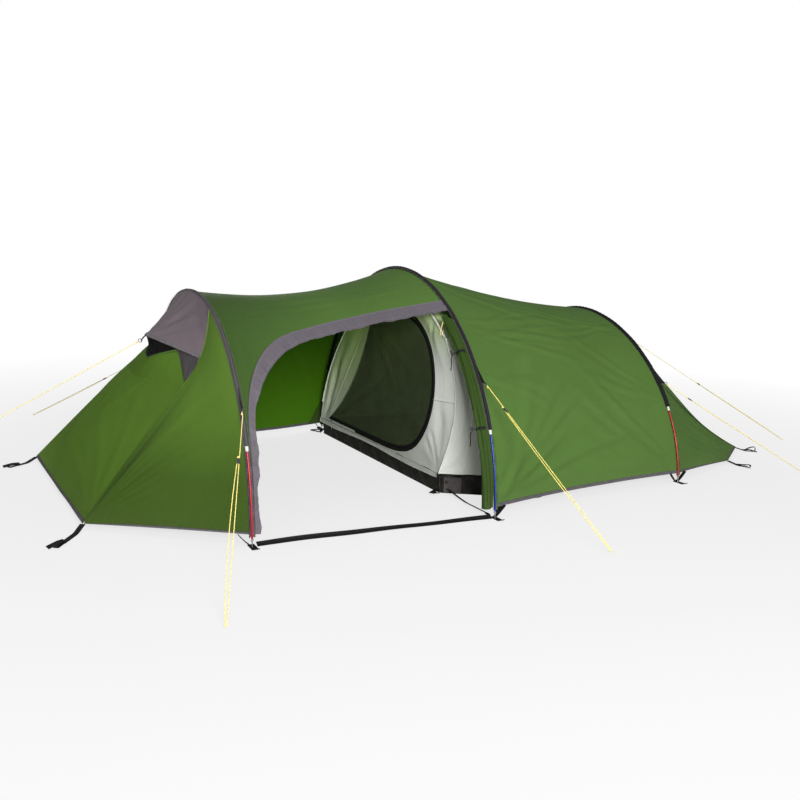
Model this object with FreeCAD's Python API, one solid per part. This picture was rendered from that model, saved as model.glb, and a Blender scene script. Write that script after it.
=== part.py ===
"""Three-hoop tunnel tent: bent poles in sleeves, sewn flysheet panels, hanging inner tent and guy lines.

Frame: millimetres, +Z up, +X from the front hoop towards the foot end, -Y is the door side ("near").
Origin: on the ground, straight under the top of the centre hoop. Each sub-part is written to parts/NODE.step.
"""

import FreeCAD
import Part

import math
import os

V = FreeCAD.Vector

# ---- driving dimensions, mm --------------------------------------------------------------------
# A hoop stands across the tent: its x place, half width at the ground, height, and roundness of its arch.
FRONT = {"x": -1200.0, "half": 1000.0, "height": 1040.0, "round": 2.10}
CENTRE = {"x": 0.0, "half": 1090.0, "height": 1180.0, "round": 1.95}
REAR = {"x": 1380.0, "half": 960.0, "height": 945.0, "round": 1.85}
HOOPS = {"front": FRONT, "centre": CENTRE, "rear": REAR}

CLOTH = 2.0            # thickness that stands for every sheet of cloth
HEM_Z = 55.0           # height of the flysheet's lower edge at the hoops
HEM_TAPE = 18.0        # width of the tape sewn along every lower edge
PORCH_SAG = 0.070      # share by which the cloth between front and centre hoops pulls in
BODY_SAG = 0.040       # the same between centre and rear hoops
ROOF_FROM = 0.38       # where the roof panels start and end, as a share of the arch
ROOF_TO = 0.62
PANEL_GAP = 16.0       # from a hoop's plane to the edge of the cloth beside it
SEAM_SHARE = 0.0006    # half the gap between two panels sewn together, as a share of the arch

POLE_R = 4.75
POLE_BORE_R = 4.0
FERRULE_R = 3.8
FERRULE_BORE_R = 2.4
FERRULE_LENGTH = 120.0
CORD_R = 1.5           # shock cord and guy line alike
SEGMENTS = 8
TUBE_GAP = 0.3         # each tube ends this far short of the joint
SLEEVE_R = 14.0
SLEEVE_BORE_R = 13.0
SLEEVE_FROM_Z = 400.0  # the pole shows below this height
CUFF_LENGTH = 22.0
TUBE_FROM_Z = 34.0     # the lowest tube ends here, and its tip plug carries on to the ground

# Flysheet corners on the ground. The nose stands a little askew of the centre line.
NOSE_NEAR = V(-1820, -490, 26)
NOSE_FAR = V(-1905, 865, 26)
TAIL_SIDE = V(2030, -768, 24)
TAIL_END = V(2400, -520, 24)
TAIL_SEAM_Z = 560.0    # height on the rear hoop where the tail's side panel meets its end panel

# The seam up the door side of the nose, from its ground corner to the front hoop.
NOSE_SEAM = [V(-1510, -470, 430), V(-1345, -450, 635), V(-1265, -420, 746), V(-1232, -405, 832)]
NOSE_SEAM_S = 0.381    # share of the front arch where that seam ends
GUSSET_FOOT_T = 0.673  # how far up the seam the gusset starts and ends
GUSSET_SIDE_T = 0.794
GUSSET_SIDE = NOSE_SEAM[2]
SILL_END = V(-1325, -250, 771)   # end of the vent sill, under the hood
SILL_MID = V(-1420, 0, 700)
HOOD_TIP = V(-1432, 0, 815)
FRONT_BULGE = (70.0, 100.0)      # how far the nose's front panel stands out: half-way up, and at its top

WEB = 25.0             # webbing width and thickness
WEB_T = 2.0
EYELET_R = 5.5
EYELET_BORE_R = 3.4
RING_R = 9.0
RING_WIRE = 1.6
RUNNER = (30.0, 12.0, 6.0)       # length, width and thickness of a guy line runner
STRAND_GAP = 6.0       # distance between the two strands in a runner
RUNNER_BORE_R = 1.9
KNOT_R = 5.5           # knot at the peg end

# Guy lines: hoop and height of the ring, peg on the ground, share of the way down where the runner sits.
GUYS = {
    "front_near": ("front", -1, 578.0, V(-1525, -1717, 7), 0.27),
    "front_far": ("front", 1, 610.0, V(-1817, 2273, 7), 0.36),
    "centre_near": ("centre", -1, 645.0, V(190, -1710, 7), 0.16),
    "centre_far": ("centre", 1, 645.0, V(190, 1710, 7), 0.16),
    "rear_near": ("rear", -1, 552.0, V(2250, -1170, 7), 0.16),
    "rear_far": ("rear", 1, 552.0, V(2250, 1170, 7), 0.16),
    "rear_ridge": ("rear", 0, 945.0, V(3015, -432, 7), 0.55),
    "hood": ("front", 0, 790.0, V(-2800, 300, 7), 0.62),
}

ROLL_R = 34.0          # rolled-up porch door
ROLL_X = -52.0
ROLL_IN = 20.0
ROLL_FROM_Z = 48.0
ROLL_TO_Z = 915.0
TIE_Z = (430.0, 780.0)

WALL_X = -45.0         # plane of the inner tent's front wall
INNER_GAP = 92.0       # between flysheet and inner tent
TUB_H = 110.0
TUB_WALL = 2.0
INNER_ROOF = 0.28      # share of the arch where the inner roof meets its side walls
CORNER_Y = -620.0      # inner tent's front corner on the door side
DIAGONAL_END_X = 410.0 # the corner wall runs from that corner to the side wall here
FOOT_X = 2060.0
FOOT_HALF = 600.0
FOOT_H = 205.0

# The inner door is a half-round leaf in the front wall. Places are y, z.
HINGE_FOOT = (860.0, 132.0)
HINGE_HEAD = (215.0, 936.0)
LEAF = [(0.0, 132.0), (-330.0, 196.0), (-500.0, 400.0), (-532.0, 640.0), (-455.0, 812.0), (-300.0, 915.0),
        (-60.0, 958.0)]
DOOR_GAP = 4.0
SLIDER_DROP = 8.0       # from the door's lower edge to the middle of the zip slider, so the leaf swings clear
BINDING = 22.0         # width of the dark binding round the leaf


# ---- points and curves -------------------------------------------------------------------------
def hoop_point(hoop, share, grow=0.0):
    """Point on a hoop's centre line; share runs 0 at the near foot to 1 at the far foot."""
    angle = math.pi * share
    power = 2.0 / hoop["round"]
    c, s = math.cos(angle), math.sin(angle)
    y = -(hoop["half"] + grow) * math.copysign(abs(c) ** power, c)
    z = (hoop["height"] + grow) * abs(s) ** power
    return V(hoop["x"], y, z)


def share_at_height(hoop, z, grow=0.0):
    """Share on the near side at which a hoop reaches height z."""
    return math.asin((z / (hoop["height"] + grow)) ** (hoop["round"] / 2.0)) / math.pi


def arch_points(hoop, z_from, z_to, count, grow=0.0, x_shift=0.0):
    """Evenly spaced points along a hoop from height z_from, near side, to height z_to or, if None, to the far side."""
    first = share_at_height(hoop, z_from, grow)
    last = 1 - first if z_to is None else share_at_height(hoop, z_to, grow)
    fine = [hoop_point(hoop, first + (last - first) * i / 720.0, grow) + V(x_shift, 0, 0) for i in range(721)]
    run = [0.0]
    for a, b in zip(fine, fine[1:]):
        run.append(run[-1] + (b - a).Length)
    points, k = [], 0
    for i in range(count):
        want = run[-1] * i / (count - 1)
        while k < 719 and run[k + 1] < want:
            k += 1
        part = (want - run[k]) / (run[k + 1] - run[k])
        points.append(fine[k] + (fine[k + 1] - fine[k]) * part)
    return points


def spline(points):
    curve = Part.BSplineCurve()
    curve.interpolate(points)
    return curve


def on_line(a, b, t):
    return a + (b - a) * t


def mirrored(point):
    return V(point.x, -point.y, point.z)


# ---- solids ------------------------------------------------------------------------------------
def rod(a, b, radius, bore=0.0):
    d = b - a
    solid = Part.makeCylinder(radius, d.Length, a, d)
    if bore:
        solid = solid.cut(Part.makeCylinder(bore, d.Length, a, d))
    return solid


def tube(points, outer, bore=0.0):
    """Round tube or rod along a smooth line through the points."""
    edge = spline(points).toShape()
    start = edge.tangentAt(edge.FirstParameter)
    path = Part.Wire(edge)
    solid = path.makePipeShell([Part.Wire(Part.makeCircle(outer, points[0], start))], True, False)
    if bore:
        core = path.makePipeShell([Part.Wire(Part.makeCircle(bore, points[0], start))], True, False)
        solid = solid.cut(core)
    return solid


def closed(faces):
    """Sews faces to one solid with its outside out."""
    shell = Part.makeCompound(faces)
    shell.sewShape()
    solid = Part.makeSolid(Part.Shell(shell.Faces))
    if solid.Volume < 0:
        solid.reverse()
    return solid


def sheet(surface, nu, nv, thick=CLOTH):
    """Closed thin solid on both sides of surface(u, v), u and v from 0 to 1."""
    step = 1e-3

    def normal(u, v):
        u0, u1 = max(0.0, u - step), min(1.0, u + step)
        v0, v1 = max(0.0, v - step), min(1.0, v + step)
        return (surface(u1, v) - surface(u0, v)).cross(surface(u, v1) - surface(u, v0)).normalize()

    def skin(offset):
        rows = []
        for i in range(nu):
            u = i / (nu - 1.0)
            row = []
            for j in range(nv):
                v = j / (nv - 1.0)
                row.append(surface(u, v) + normal(u, v) * offset)
            rows.append(row)
        face = Part.BSplineSurface()
        face.interpolate(rows)
        return face

    top, bottom = skin(thick / 2), skin(-thick / 2)
    u0, u1, v0, v1 = top.bounds()
    faces = [top.toShape(), bottom.toShape()]
    for pick in (lambda s: s.uIso(u0), lambda s: s.uIso(u1), lambda s: s.vIso(v0), lambda s: s.vIso(v1)):
        faces.append(Part.makeRuledSurface(pick(top).toShape(), pick(bottom).toShape()))
    return closed(faces)


def between(surface, u0, u1, v0, v1):
    """The same surface cut down to a part of its u and v range."""
    return lambda u, v: surface(u0 + (u1 - u0) * u, v0 + (v1 - v0) * v)


def prism_y(points, y0, y1):
    """Solid from an outline of x, z places, between two y places."""
    wire = Part.makePolygon([V(x, y0, z) for x, z in points + [points[0]]])
    return Part.Face(wire).extrude(V(0, y1 - y0, 0))


def prism_z(points, z0, z1):
    """Solid from an outline of x, y places, between two heights."""
    wire = Part.makePolygon([V(x, y, z0) for x, y in points + [points[0]]])
    return Part.Face(wire).extrude(V(0, 0, z1 - z0))


def triangle(a, b, c, trim, thick):
    """Flat triangular solid whose edges stand trim mm inside the given corners."""
    middle = (a + b + c) * (1 / 3.0)
    inset = [p + (middle - p).normalize() * trim for p in (a, b, c)]
    out = (inset[1] - inset[0]).cross(inset[2] - inset[0]).normalize() * thick
    return Part.Face(Part.makePolygon(inset + [inset[0]])).extrude(out)


def strap(a, b, width=WEB, thick=WEB_T):
    """Flat webbing from a to b, its width level."""
    side = (b - a).cross(V(0, 0, 1)).normalize() * (width / 2)
    rise = side.cross(b - a).normalize() * thick
    corners = [a - side, b - side, b + side, a + side, a - side]
    return Part.Face(Part.makePolygon(corners)).extrude(rise)


def bezier(p, q, r, count=12):
    """Points of a curve from p to r that is pulled towards q."""
    points = []
    for i in range(count + 1):
        t = i / float(count)
        weights = ((1 - t) ** 2, 2 * t * (1 - t), t * t)
        points.append(tuple(sum(w * place[k] for w, place in zip(weights, (p, q, r))) for k in (0, 1)))
    return points


# ---- poles and sleeves -------------------------------------------------------------------------
def pole(hoop):
    """Tubes, ferrules and shock cord of one bent pole."""
    per = 9
    line = arch_points(hoop, TUBE_FROM_Z, None, SEGMENTS * per + 1)
    spacing = (line[1] - line[0]).Length
    reach = round(FERRULE_LENGTH / 2 / spacing)
    tubes = []
    for i in range(SEGMENTS):
        run = line[i * per:(i + 1) * per + 1]
        run[0] = on_line(run[0], run[1], TUBE_GAP / spacing)
        run[-1] = on_line(run[-1], run[-2], TUBE_GAP / spacing)
        tubes.append(tube(run, POLE_R, POLE_BORE_R))
    ferrules = [tube(line[i * per - reach:i * per + reach + 1], FERRULE_R, FERRULE_BORE_R)
                for i in range(1, SEGMENTS)]
    cord = tube(line[1:-1], CORD_R)
    return tubes, ferrules, cord


def pole_tip(hoop, side):
    """End plug of a pole: a spigot in the tube, a collar, and a pin that stands in the webbing's eyelet."""
    share = share_at_height(hoop, TUBE_FROM_Z)
    top = hoop_point(hoop, share)
    lean = (top - hoop_point(hoop, share + 0.004)).normalize()
    pin_top = top + lean * 9
    pin_end = pin_top + lean * ((pin_top.z - 0.5) / -lean.z)
    spigot = rod(top - lean * 18, top + lean * 0.5, POLE_BORE_R - 0.3)
    collar = rod(top + lean * 0.5, pin_top, POLE_R + 0.6)
    pin = rod(pin_top, pin_end, 2.6)
    plug = spigot.fuse(collar).fuse(pin).removeSplitter()
    return plug if side < 0 else plug.mirror(V(0, 0, 0), V(0, 1, 0))


def pin_place(hoop, side):
    """Ground point under a pole's pin."""
    share = share_at_height(hoop, TUBE_FROM_Z)
    top = hoop_point(hoop, share)
    lean = (top - hoop_point(hoop, share + 0.004)).normalize()
    end = top + lean * (top.z / -lean.z)
    return V(end.x, end.y if side < 0 else -end.y, 0)


def sleeve(hoop):
    """The cloth tunnel a pole runs through, without the cuffs at its ends."""
    return tube(arch_points(hoop, SLEEVE_FROM_Z + CUFF_LENGTH + 2, None, 33), SLEEVE_R, SLEEVE_BORE_R)


def cuff(hoop, side):
    """Stiff cuff at a sleeve's lower end."""
    run = arch_points(hoop, SLEEVE_FROM_Z, SLEEVE_FROM_Z + CUFF_LENGTH, 3)
    solid = rod(run[0], run[2], SLEEVE_R - 2, SLEEVE_BORE_R - 4)
    return solid if side < 0 else solid.mirror(V(0, 0, 0), V(0, 1, 0))


# ---- flysheet between the hoops ----------------------------------------------------------------
def stretched(a, b, sag):
    """Cloth pulled tight from hoop a to hoop b, as a function of u along the tent and share of the arch."""
    def at(u, share):
        p, q = hoop_point(a, share), hoop_point(b, share)
        pull = 1.0 - sag * 4 * u * (1 - u)
        flat = on_line(p, q, u)
        return V(flat.x, flat.y * pull, flat.z * pull)
    return at


def fly_panel(a, b, sag, from_share, to_share):
    """Surface of one panel between two hoops. The shares may be functions of u."""
    cloth = stretched(a, b, sag)
    edge = PANEL_GAP / (b["x"] - a["x"])

    def surface(u, v):
        along = edge + (1 - 2 * edge) * u
        low = from_share(along) if callable(from_share) else from_share
        high = to_share(along) if callable(to_share) else to_share
        return cloth(along, low + (high - low) * v)
    return surface


def hem_share(a, b, above=0.0):
    """Share at which the cloth between two hoops is down at the hem, or a distance above it."""
    low_a, low_b = share_at_height(a, HEM_Z + above), share_at_height(b, HEM_Z + above)
    return lambda u: low_a + (low_b - low_a) * u


def far(share):
    return lambda u: 1 - share(u)


def doorway(post, corner, head, end, foot_x):
    """Outline seen from the side, as x, z: a post, a round corner and a rising head."""
    return [(foot_x, -50.0)] + bezier(post, corner, head) + [end, (60.0, -50.0)]


DOORWAY_INNER = doorway((-1134.0, 500.0), (-1110.0, 750.0), (-800.0, 830.0), (60.0, 990.0), -1162.0)
DOORWAY_OUTER = doorway((-1180.0, 490.0), (-1155.0, 812.0), (-830.0, 872.0), (60.0, 1036.0), -1192.0)


def outline_gap(outline, gap):
    """The outline moved outwards by a small gap."""
    return [(x - gap if x < 0 else x, z + gap if z > 0 else z) for x, z in outline]


def fly_between_hoops():
    parts, tapes = {}, []
    for name, a, b, sag in (("porch", FRONT, CENTRE, PORCH_SAG), ("body", CENTRE, REAR, BODY_SAG)):
        hem, tape = hem_share(a, b), hem_share(a, b, HEM_TAPE - 1)
        cloth_from = hem_share(a, b, HEM_TAPE)
        near = sheet(fly_panel(a, b, sag, cloth_from, ROOF_FROM - SEAM_SHARE), 13, 15)
        roof = sheet(fly_panel(a, b, sag, ROOF_FROM + SEAM_SHARE, ROOF_TO - SEAM_SHARE), 13, 15)
        away = sheet(fly_panel(a, b, sag, ROOF_TO + SEAM_SHARE, far(cloth_from)), 13, 15)
        near_tape = sheet(fly_panel(a, b, sag, hem, tape), 13, 4)
        far_tape = sheet(fly_panel(a, b, sag, far(tape), far(hem)), 13, 4)
        parts["fly_" + name + "_near"] = near
        parts["fly_" + name + "_roof"] = roof
        parts["fly_" + name + "_far"] = away
        tapes += [far_tape] if name == "porch" else [near_tape, far_tape]
    door_side = fly_panel(FRONT, CENTRE, PORCH_SAG, hem_share(FRONT, CENTRE), ROOF_FROM - SEAM_SHARE)
    outside = prism_y(outline_gap(DOORWAY_OUTER, 1.0), -1400, -100)
    trim = sheet(door_side, 13, 15).common(prism_y(DOORWAY_OUTER, -1400, -100))
    parts["fly_doorway_trim"] = largest(trim.cut(prism_y(DOORWAY_INNER, -1400, -100)))
    parts["fly_porch_near"] = largest(parts["fly_porch_near"].cut(outside))
    parts["hem_tapes"] = tapes
    return parts


def largest(shape):
    return max(shape.Solids, key=lambda solid: solid.Volume)


# ---- nose --------------------------------------------------------------------------------------
def nose_seam(side):
    """Seam line of the nose from its ground corner to the front hoop, as a function of t."""
    top = hoop_point(FRONT, NOSE_SEAM_S) - V(PANEL_GAP, 0, 0)
    curve = spline([NOSE_NEAR] + NOSE_SEAM + [top])
    if side < 0:
        return lambda t: curve.value(curve.FirstParameter + (curve.LastParameter - curve.FirstParameter) * t)

    def far_side(t):
        near = curve.value(curve.FirstParameter + (curve.LastParameter - curve.FirstParameter) * t)
        bend = near - on_line(NOSE_NEAR, top, t)
        return on_line(NOSE_FAR, mirrored(top), t) + mirrored(bend)
    return far_side


def nose_side(side):
    """Side panel that fans out from the ground corner to the front hoop."""
    seam = nose_seam(side)
    corner = NOSE_NEAR if side < 0 else NOSE_FAR
    low = share_at_height(FRONT, HEM_Z)

    def surface(u, v):
        share = low + (NOSE_SEAM_S - low) * v
        rim = hoop_point(FRONT, share if side < 0 else 1 - share) - V(PANEL_GAP, 0, 0)
        top = hoop_point(FRONT, NOSE_SEAM_S if side < 0 else 1 - NOSE_SEAM_S) - V(PANEL_GAP, 0, 0)
        t = 0.04 + 0.96 * u
        bend = (seam(t) - on_line(corner, top, t)) * v ** 2
        pull = -side * 24.0 * 4 * t * (1 - t) * math.sin(math.pi * (0.1 + 0.8 * v))
        return on_line(corner, rim, t) + bend + V(0, pull, 0)
    return surface


def sill(v):
    """Upper edge of the nose's front panel, bowed forwards and down in its middle."""
    side = abs(2 * v - 1)
    near = on_line(SILL_MID, SILL_END, side * side)
    return V(near.x, SILL_END.y * (1 - 2 * v), near.z)


def nose_front(u, v):
    """Front panel between the two seams; it follows them up to the gusset, then leans in to the sill."""
    knee = 0.80

    def edge(side):
        seam = nose_seam(side)
        end = SILL_END if side < 0 else mirrored(SILL_END)
        if u < knee:
            return seam(GUSSET_FOOT_T * u / knee)
        return on_line(seam(GUSSET_FOOT_T), end, (u - knee) / (1 - knee))
    near, away = edge(-1), edge(1)
    arch = 1 - (2 * v - 1) ** 2
    out = FRONT_BULGE[0] * 4 * u * (1 - u) + FRONT_BULGE[1] * u
    drop = (SILL_END.z - SILL_MID.z) * u ** 4
    return on_line(near, away, v) - V(out * arch, 0, drop * arch)


def lip(y):
    """Front edge of the vent hood at a place y across."""
    side = abs(y / GUSSET_SIDE.y)
    return V(HOOD_TIP.x + (GUSSET_SIDE.x - HOOD_TIP.x) * side ** 1.25, y,
             HOOD_TIP.z + (GUSSET_SIDE.z - HOOD_TIP.z) * side ** 1.3)


def hood(u, v):
    """Vent hood: u runs forward from the hoop, v from near to far."""
    rim = hoop_point(FRONT, NOSE_SEAM_S + (1 - 2 * NOSE_SEAM_S) * v) - V(PANEL_GAP, 0, 0)
    edge = lip(GUSSET_SIDE.y * (1 - 2 * v))
    return on_line(rim, edge, u) + V(0, 0, -8 * 4 * u * (1 - u))


def vent_net(u, v):
    """Netting between the sill and the underside of the hood."""
    low = sill(v)
    high = lip(low.y) + V(14, 0, -12)
    return on_line(low + V(16, 0, 6), high, u)


def nose_parts():
    gussets = []
    for side in (-1, 1):
        seam = nose_seam(side)
        sill_end = SILL_END if side < 0 else mirrored(SILL_END)
        gussets.append(triangle(seam(GUSSET_FOOT_T), seam(GUSSET_SIDE_T), sill_end, 10.0, CLOTH))
    return {
        "fly_nose_near": sheet(between(nose_side(-1), 0, 1, 0, 0.995), 15, 13),
        "fly_nose_far": sheet(between(nose_side(1), 0, 1, 0, 0.988), 15, 13),
        "fly_nose_front": sheet(between(nose_front, 0, 0.985, 0.006, 0.994), 21, 13),
        "vent_gussets": gussets,
        "vent_hood": sheet(between(hood, 0, 1, 0.008, 0.992), 9, 17),
        "vent_net": sheet(between(vent_net, 0, 1, 0.07, 0.93), 4, 11),
    }


# ---- tail --------------------------------------------------------------------------------------
def tail_side(flip):
    low, seam = share_at_height(REAR, HEM_Z), share_at_height(REAR, TAIL_SEAM_Z)

    def surface(u, v):
        rim = hoop_point(REAR, low + (seam - low) * v) + V(PANEL_GAP, 0, 0)
        flat = on_line(rim, on_line(TAIL_SIDE, TAIL_END, v), u)
        bow = 4 * u * (1 - u)
        flat += V(0, 30.0 * bow * math.sin(math.pi * (0.1 + 0.8 * v)), -34.0 * bow * v)
        return mirrored(flat) if flip else flat
    return surface


def tail_end(u, v):
    seam = share_at_height(REAR, TAIL_SEAM_Z)
    rim = hoop_point(REAR, seam + (1 - 2 * seam) * v) + V(PANEL_GAP, 0, 0)
    flat = on_line(rim, on_line(TAIL_END, mirrored(TAIL_END), v), u)
    drop = 34.0 + 40.0 * math.sin(math.pi * v)
    return flat - V(0, 0, drop * 4 * u * (1 - u))


def tail_parts():
    return {
        "fly_tail_near": sheet(between(tail_side(False), 0, 1, 0, 0.994), 11, 9),
        "fly_tail_far": sheet(between(tail_side(True), 0, 1, 0, 0.994), 11, 9),
        "fly_tail_end": sheet(between(tail_end, 0, 1, 0.006, 0.994), 11, 17),
    }


# ---- webbing -----------------------------------------------------------------------------------
def foot_strap(hoop, side, legs):
    """Webbing under a pole: a ground plate with an eyelet hole, and legs up to the hem."""
    pin = pin_place(hoop, side)
    plate = Part.makeBox(WEB, 88, WEB_T, V(pin.x - WEB / 2, pin.y - (26 if side > 0 else 62), 0))
    plate = plate.cut(Part.makeCylinder(EYELET_R + 0.1, 10, pin - V(0, 0, 5)))
    hem = hoop_point(hoop, share_at_height(hoop, HEM_Z))
    for way in legs:
        foot = V(pin.x + way * 5, pin.y - side * 14, 0.2)
        top = V(pin.x + way * 62, (hem.y if side < 0 else -hem.y) - side * 6, HEM_Z - 6)
        plate = plate.fuse(strap(foot, top, 16))
    return plate.removeSplitter()


def eyelet(hoop, side):
    pin = pin_place(hoop, side)
    return rod(pin, pin + V(0, 0, 3), EYELET_R, EYELET_BORE_R)


def corner_strap(corner, end, width=18.0):
    """Peg loop at a ground corner: it leaves the corner, lies down, and ends in a loop."""
    away = V(end.x - corner.x, end.y - corner.y, 0).normalize()
    start = corner + away * 5 + V(0, 0, -14)
    middle = V(corner.x, corner.y, 0) + away * 60
    last = V(end.x, end.y, 0)
    piece = strap(start, middle, width).fuse(strap(middle - away * 4, last, width))
    slot_from, slot_to = last - away * 55, last - away * 12
    slot = strap(slot_from - V(0, 0, 3), slot_to - V(0, 0, 3), width - 8, 12)
    return piece.cut(slot).removeSplitter()


def webbing_parts():
    straps, eyelets = [], []
    for name, hoop in HOOPS.items():
        for side in (-1, 1):
            legs = (-1, 1)
            if side < 0 and name == "front":
                legs = (-1,)
            if side < 0 and name == "centre":
                legs = (1,)
            straps.append(foot_strap(hoop, side, legs))
            eyelets.append(eyelet(hoop, side))
    corners = [
        (NOSE_NEAR, V(-1957, -712, 0)),
        (NOSE_FAR, V(-2064, 738, 0)),
        (TAIL_SIDE, V(2080, -905, 0)),
        (mirrored(TAIL_SIDE), V(2080, 905, 0)),
        (TAIL_END, V(2500, -605, 0)),
        (mirrored(TAIL_END), V(2500, 605, 0)),
    ]
    a, b = pin_place(FRONT, -1), pin_place(CENTRE, -1)
    return {
        "foot_straps": straps,
        "foot_eyelets": eyelets,
        "corner_straps": [corner_strap(c, e) for c, e in corners],
        "porch_ground_strap": strap(a + V(WEB / 2 + 2, 0, 0), b - V(WEB / 2 + 2, 0, 0), 20),
    }


# ---- guy lines ---------------------------------------------------------------------------------
def side_point(hoop, side, z):
    p = hoop_point(hoop, share_at_height(hoop, z))
    return p if side < 0 else mirrored(p)


def guy_anchor(hoop, side, z, peg):
    """Place of a guy line's ring, and the direction its tab stands off the sleeve."""
    if hoop is FRONT and side == 0:
        return V(HOOD_TIP.x - 26, 0, z), V(-1, 0, 0)
    if side == 0:
        return V(hoop["x"] + 40, 0, z - 2), V(1, 0, 0)
    p = side_point(hoop, side, z)
    along = (side_point(hoop, side, z + 5) - p).normalize()
    pull = (peg - p).normalize()
    off = V(0, side * along.z, abs(along.y))
    return p + off * 26 + pull * 32, off


def guy_parts():
    lines, tabs, rings, runners = [], [], [], {}
    for name, (hoop_name, side, z, peg, share) in GUYS.items():
        hoop = HOOPS[hoop_name]
        ring_at, off = guy_anchor(hoop, side, z, peg)
        down = (peg - ring_at).normalize()
        across = down.cross(V(0, 0, 1)).normalize()
        lift = across.cross(down).normalize()
        rings.append(Part.makeTorus(RING_R, RING_WIRE, ring_at, across))
        start = ring_at + down * (RING_R + RING_WIRE + CORD_R + 0.5)
        length = (peg - start).Length
        middle = start + down * (length * share)
        side_step = across * (STRAND_GAP / 2)
        upper = rod(start - side_step, start - side_step + down * (length - 8), CORD_R)
        knot_at = start + down * (length - 8)
        lower = rod(middle + side_step - down * (RUNNER[0] / 2 + 4), knot_at + side_step, CORD_R)
        knot = rod(knot_at - down * 5, knot_at + down * 7, KNOT_R)
        lines.append(upper.fuse(lower).fuse(knot))
        runners["runner_" + name] = runner(middle, down, across, lift)
        tabs.append(guy_tab(hoop, side, z, ring_at, off))
    parts = {"guy_lines": lines, "guy_tabs": tabs, "guy_rings": rings}
    parts.update(runners)
    return parts


def runner(middle, down, across, lift):
    """Flat slider with a hole for each strand of the line."""
    length, width, thick = RUNNER
    place = FreeCAD.Placement(middle, FreeCAD.Rotation(down, across, lift, "XYZ"))
    body = Part.makeBox(length, width, thick, V(-length / 2, -width / 2, -thick / 2))
    body = body.makeFillet(1.5, body.Edges)
    for y in (-STRAND_GAP / 2, STRAND_GAP / 2):
        body = body.cut(Part.makeCylinder(RUNNER_BORE_R, length + 2, V(-length / 2 - 1, y, 0), V(1, 0, 0)))
    body.Placement = place
    return body


def guy_tab(hoop, side, z, ring_at, off):
    """Triangular tab that carries a ring: wide on the sleeve, narrow at the ring."""
    if hoop is FRONT and side == 0:
        return strap(lip(0.0) + V(-3, 0, -8), ring_at + V(RING_R + 3.5, 0, 1), 20)
    if side == 0:
        return strap(V(hoop["x"] + SLEEVE_R + 2, 0, z + 8), ring_at - V(RING_R + 2.5, 0, 0), 20)
    low = side_point(hoop, side, z - 5) + off * (SLEEVE_R + 2)
    high = side_point(hoop, side, z + 75) + off * (SLEEVE_R + 2)
    along = (high - low).normalize()
    back = (on_line(low, high, 0.3) - ring_at).normalize()
    tip = ring_at + back * (RING_R + RING_WIRE + 4)
    outline = [low, high, tip + along * 5, tip - along * 3, low]
    return Part.Face(Part.makePolygon(outline)).extrude(along.cross(off) * WEB_T)


# ---- rolled porch door -------------------------------------------------------------------------
def roll_line(z_from, z_to, count):
    return arch_points(CENTRE, z_from, z_to, count, -ROLL_IN, ROLL_X)


def door_roll_parts():
    parts = {
        "porch_door_roll": tube(roll_line(ROLL_FROM_Z, ROLL_TO_Z, 15), ROLL_R),
        "porch_door_ties": [],
    }
    for name, z in zip(("low", "high"), TIE_Z):
        run = roll_line(z - 8, z + 8, 3)
        parts["porch_door_ties"].append(rod(run[0], run[2], ROLL_R + 2.6, ROLL_R + 0.9))
        spot = run[1] + V(-ROLL_R - 9, 0, 0)
        along = (run[2] - run[0]).normalize() * 13
        bar = rod(spot - along, spot + along, 4.0)
        waist = rod(spot - along * 0.15, spot + along * 0.15, 6.0, 2.5)
        parts["door_toggle_" + name] = bar.cut(waist).removeSplitter()
    return parts


# ---- inner tent --------------------------------------------------------------------------------
def inner_point(x, share):
    """Point on the inner tent's canopy between its front wall and the rear hoop."""
    u = (x - CENTRE["x"]) / (REAR["x"] - CENTRE["x"])
    pull = 1.0 - BODY_SAG * 4 * max(u, 0.0) * (1 - max(u, 0.0))
    p, q = hoop_point(CENTRE, share, -INNER_GAP), hoop_point(REAR, share, -INNER_GAP)
    flat = on_line(p, q, u)
    return V(x, flat.y * pull, flat.z * pull)


def share_above_tub(x):
    """Share at which the canopy meets the top of the tub's wall."""
    low, high = 0.0, 0.3
    for _ in range(40):
        middle = (low + high) / 2
        if inner_point(x, middle).z < TUB_H + 2:
            low = middle
        else:
            high = middle
    return high


def inner_half(x):
    """Half width of the tub at x."""
    if x <= REAR["x"]:
        return -inner_point(x, share_above_tub(x)).y
    t = (x - REAR["x"]) / (FOOT_X - REAR["x"])
    return inner_half(REAR["x"]) * (1 - t) + FOOT_HALF * t


def tub_outline(inset):
    """Floor outline: square front, cut corner on the near side, narrowing to the foot."""
    xs = [DIAGONAL_END_X, 800.0, 1100.0, REAR["x"]]
    near = [(WALL_X + inset, CORNER_Y + inset * 0.7)]
    near += [(x + inset * 0.3 * (x == DIAGONAL_END_X), -inner_half(x) + inset) for x in xs]
    near += [(FOOT_X - inset, -FOOT_HALF + inset)]
    away = [(FOOT_X - inset, FOOT_HALF - inset)]
    away += [(x, inner_half(x) - inset) for x in reversed(xs)]
    away += [(WALL_X + inset, inner_half(WALL_X) - inset)]
    return near + away


def inner_tub():
    shell = prism_z(tub_outline(0.0), 0, TUB_H)
    return shell.cut(prism_z(tub_outline(TUB_WALL), TUB_WALL, TUB_H + 5))


def front_arch():
    """Outline of the front wall above the tub, as y, z."""
    first = share_above_tub(WALL_X)
    points = []
    for i in range(41):
        share = INNER_ROOF + (1 - first - INNER_ROOF) * i / 40.0
        p = inner_point(WALL_X, share)
        points.append((p.y, p.z))
    return [(CORNER_Y, TUB_H + 2)] + [(y, z) for y, z in points]


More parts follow.
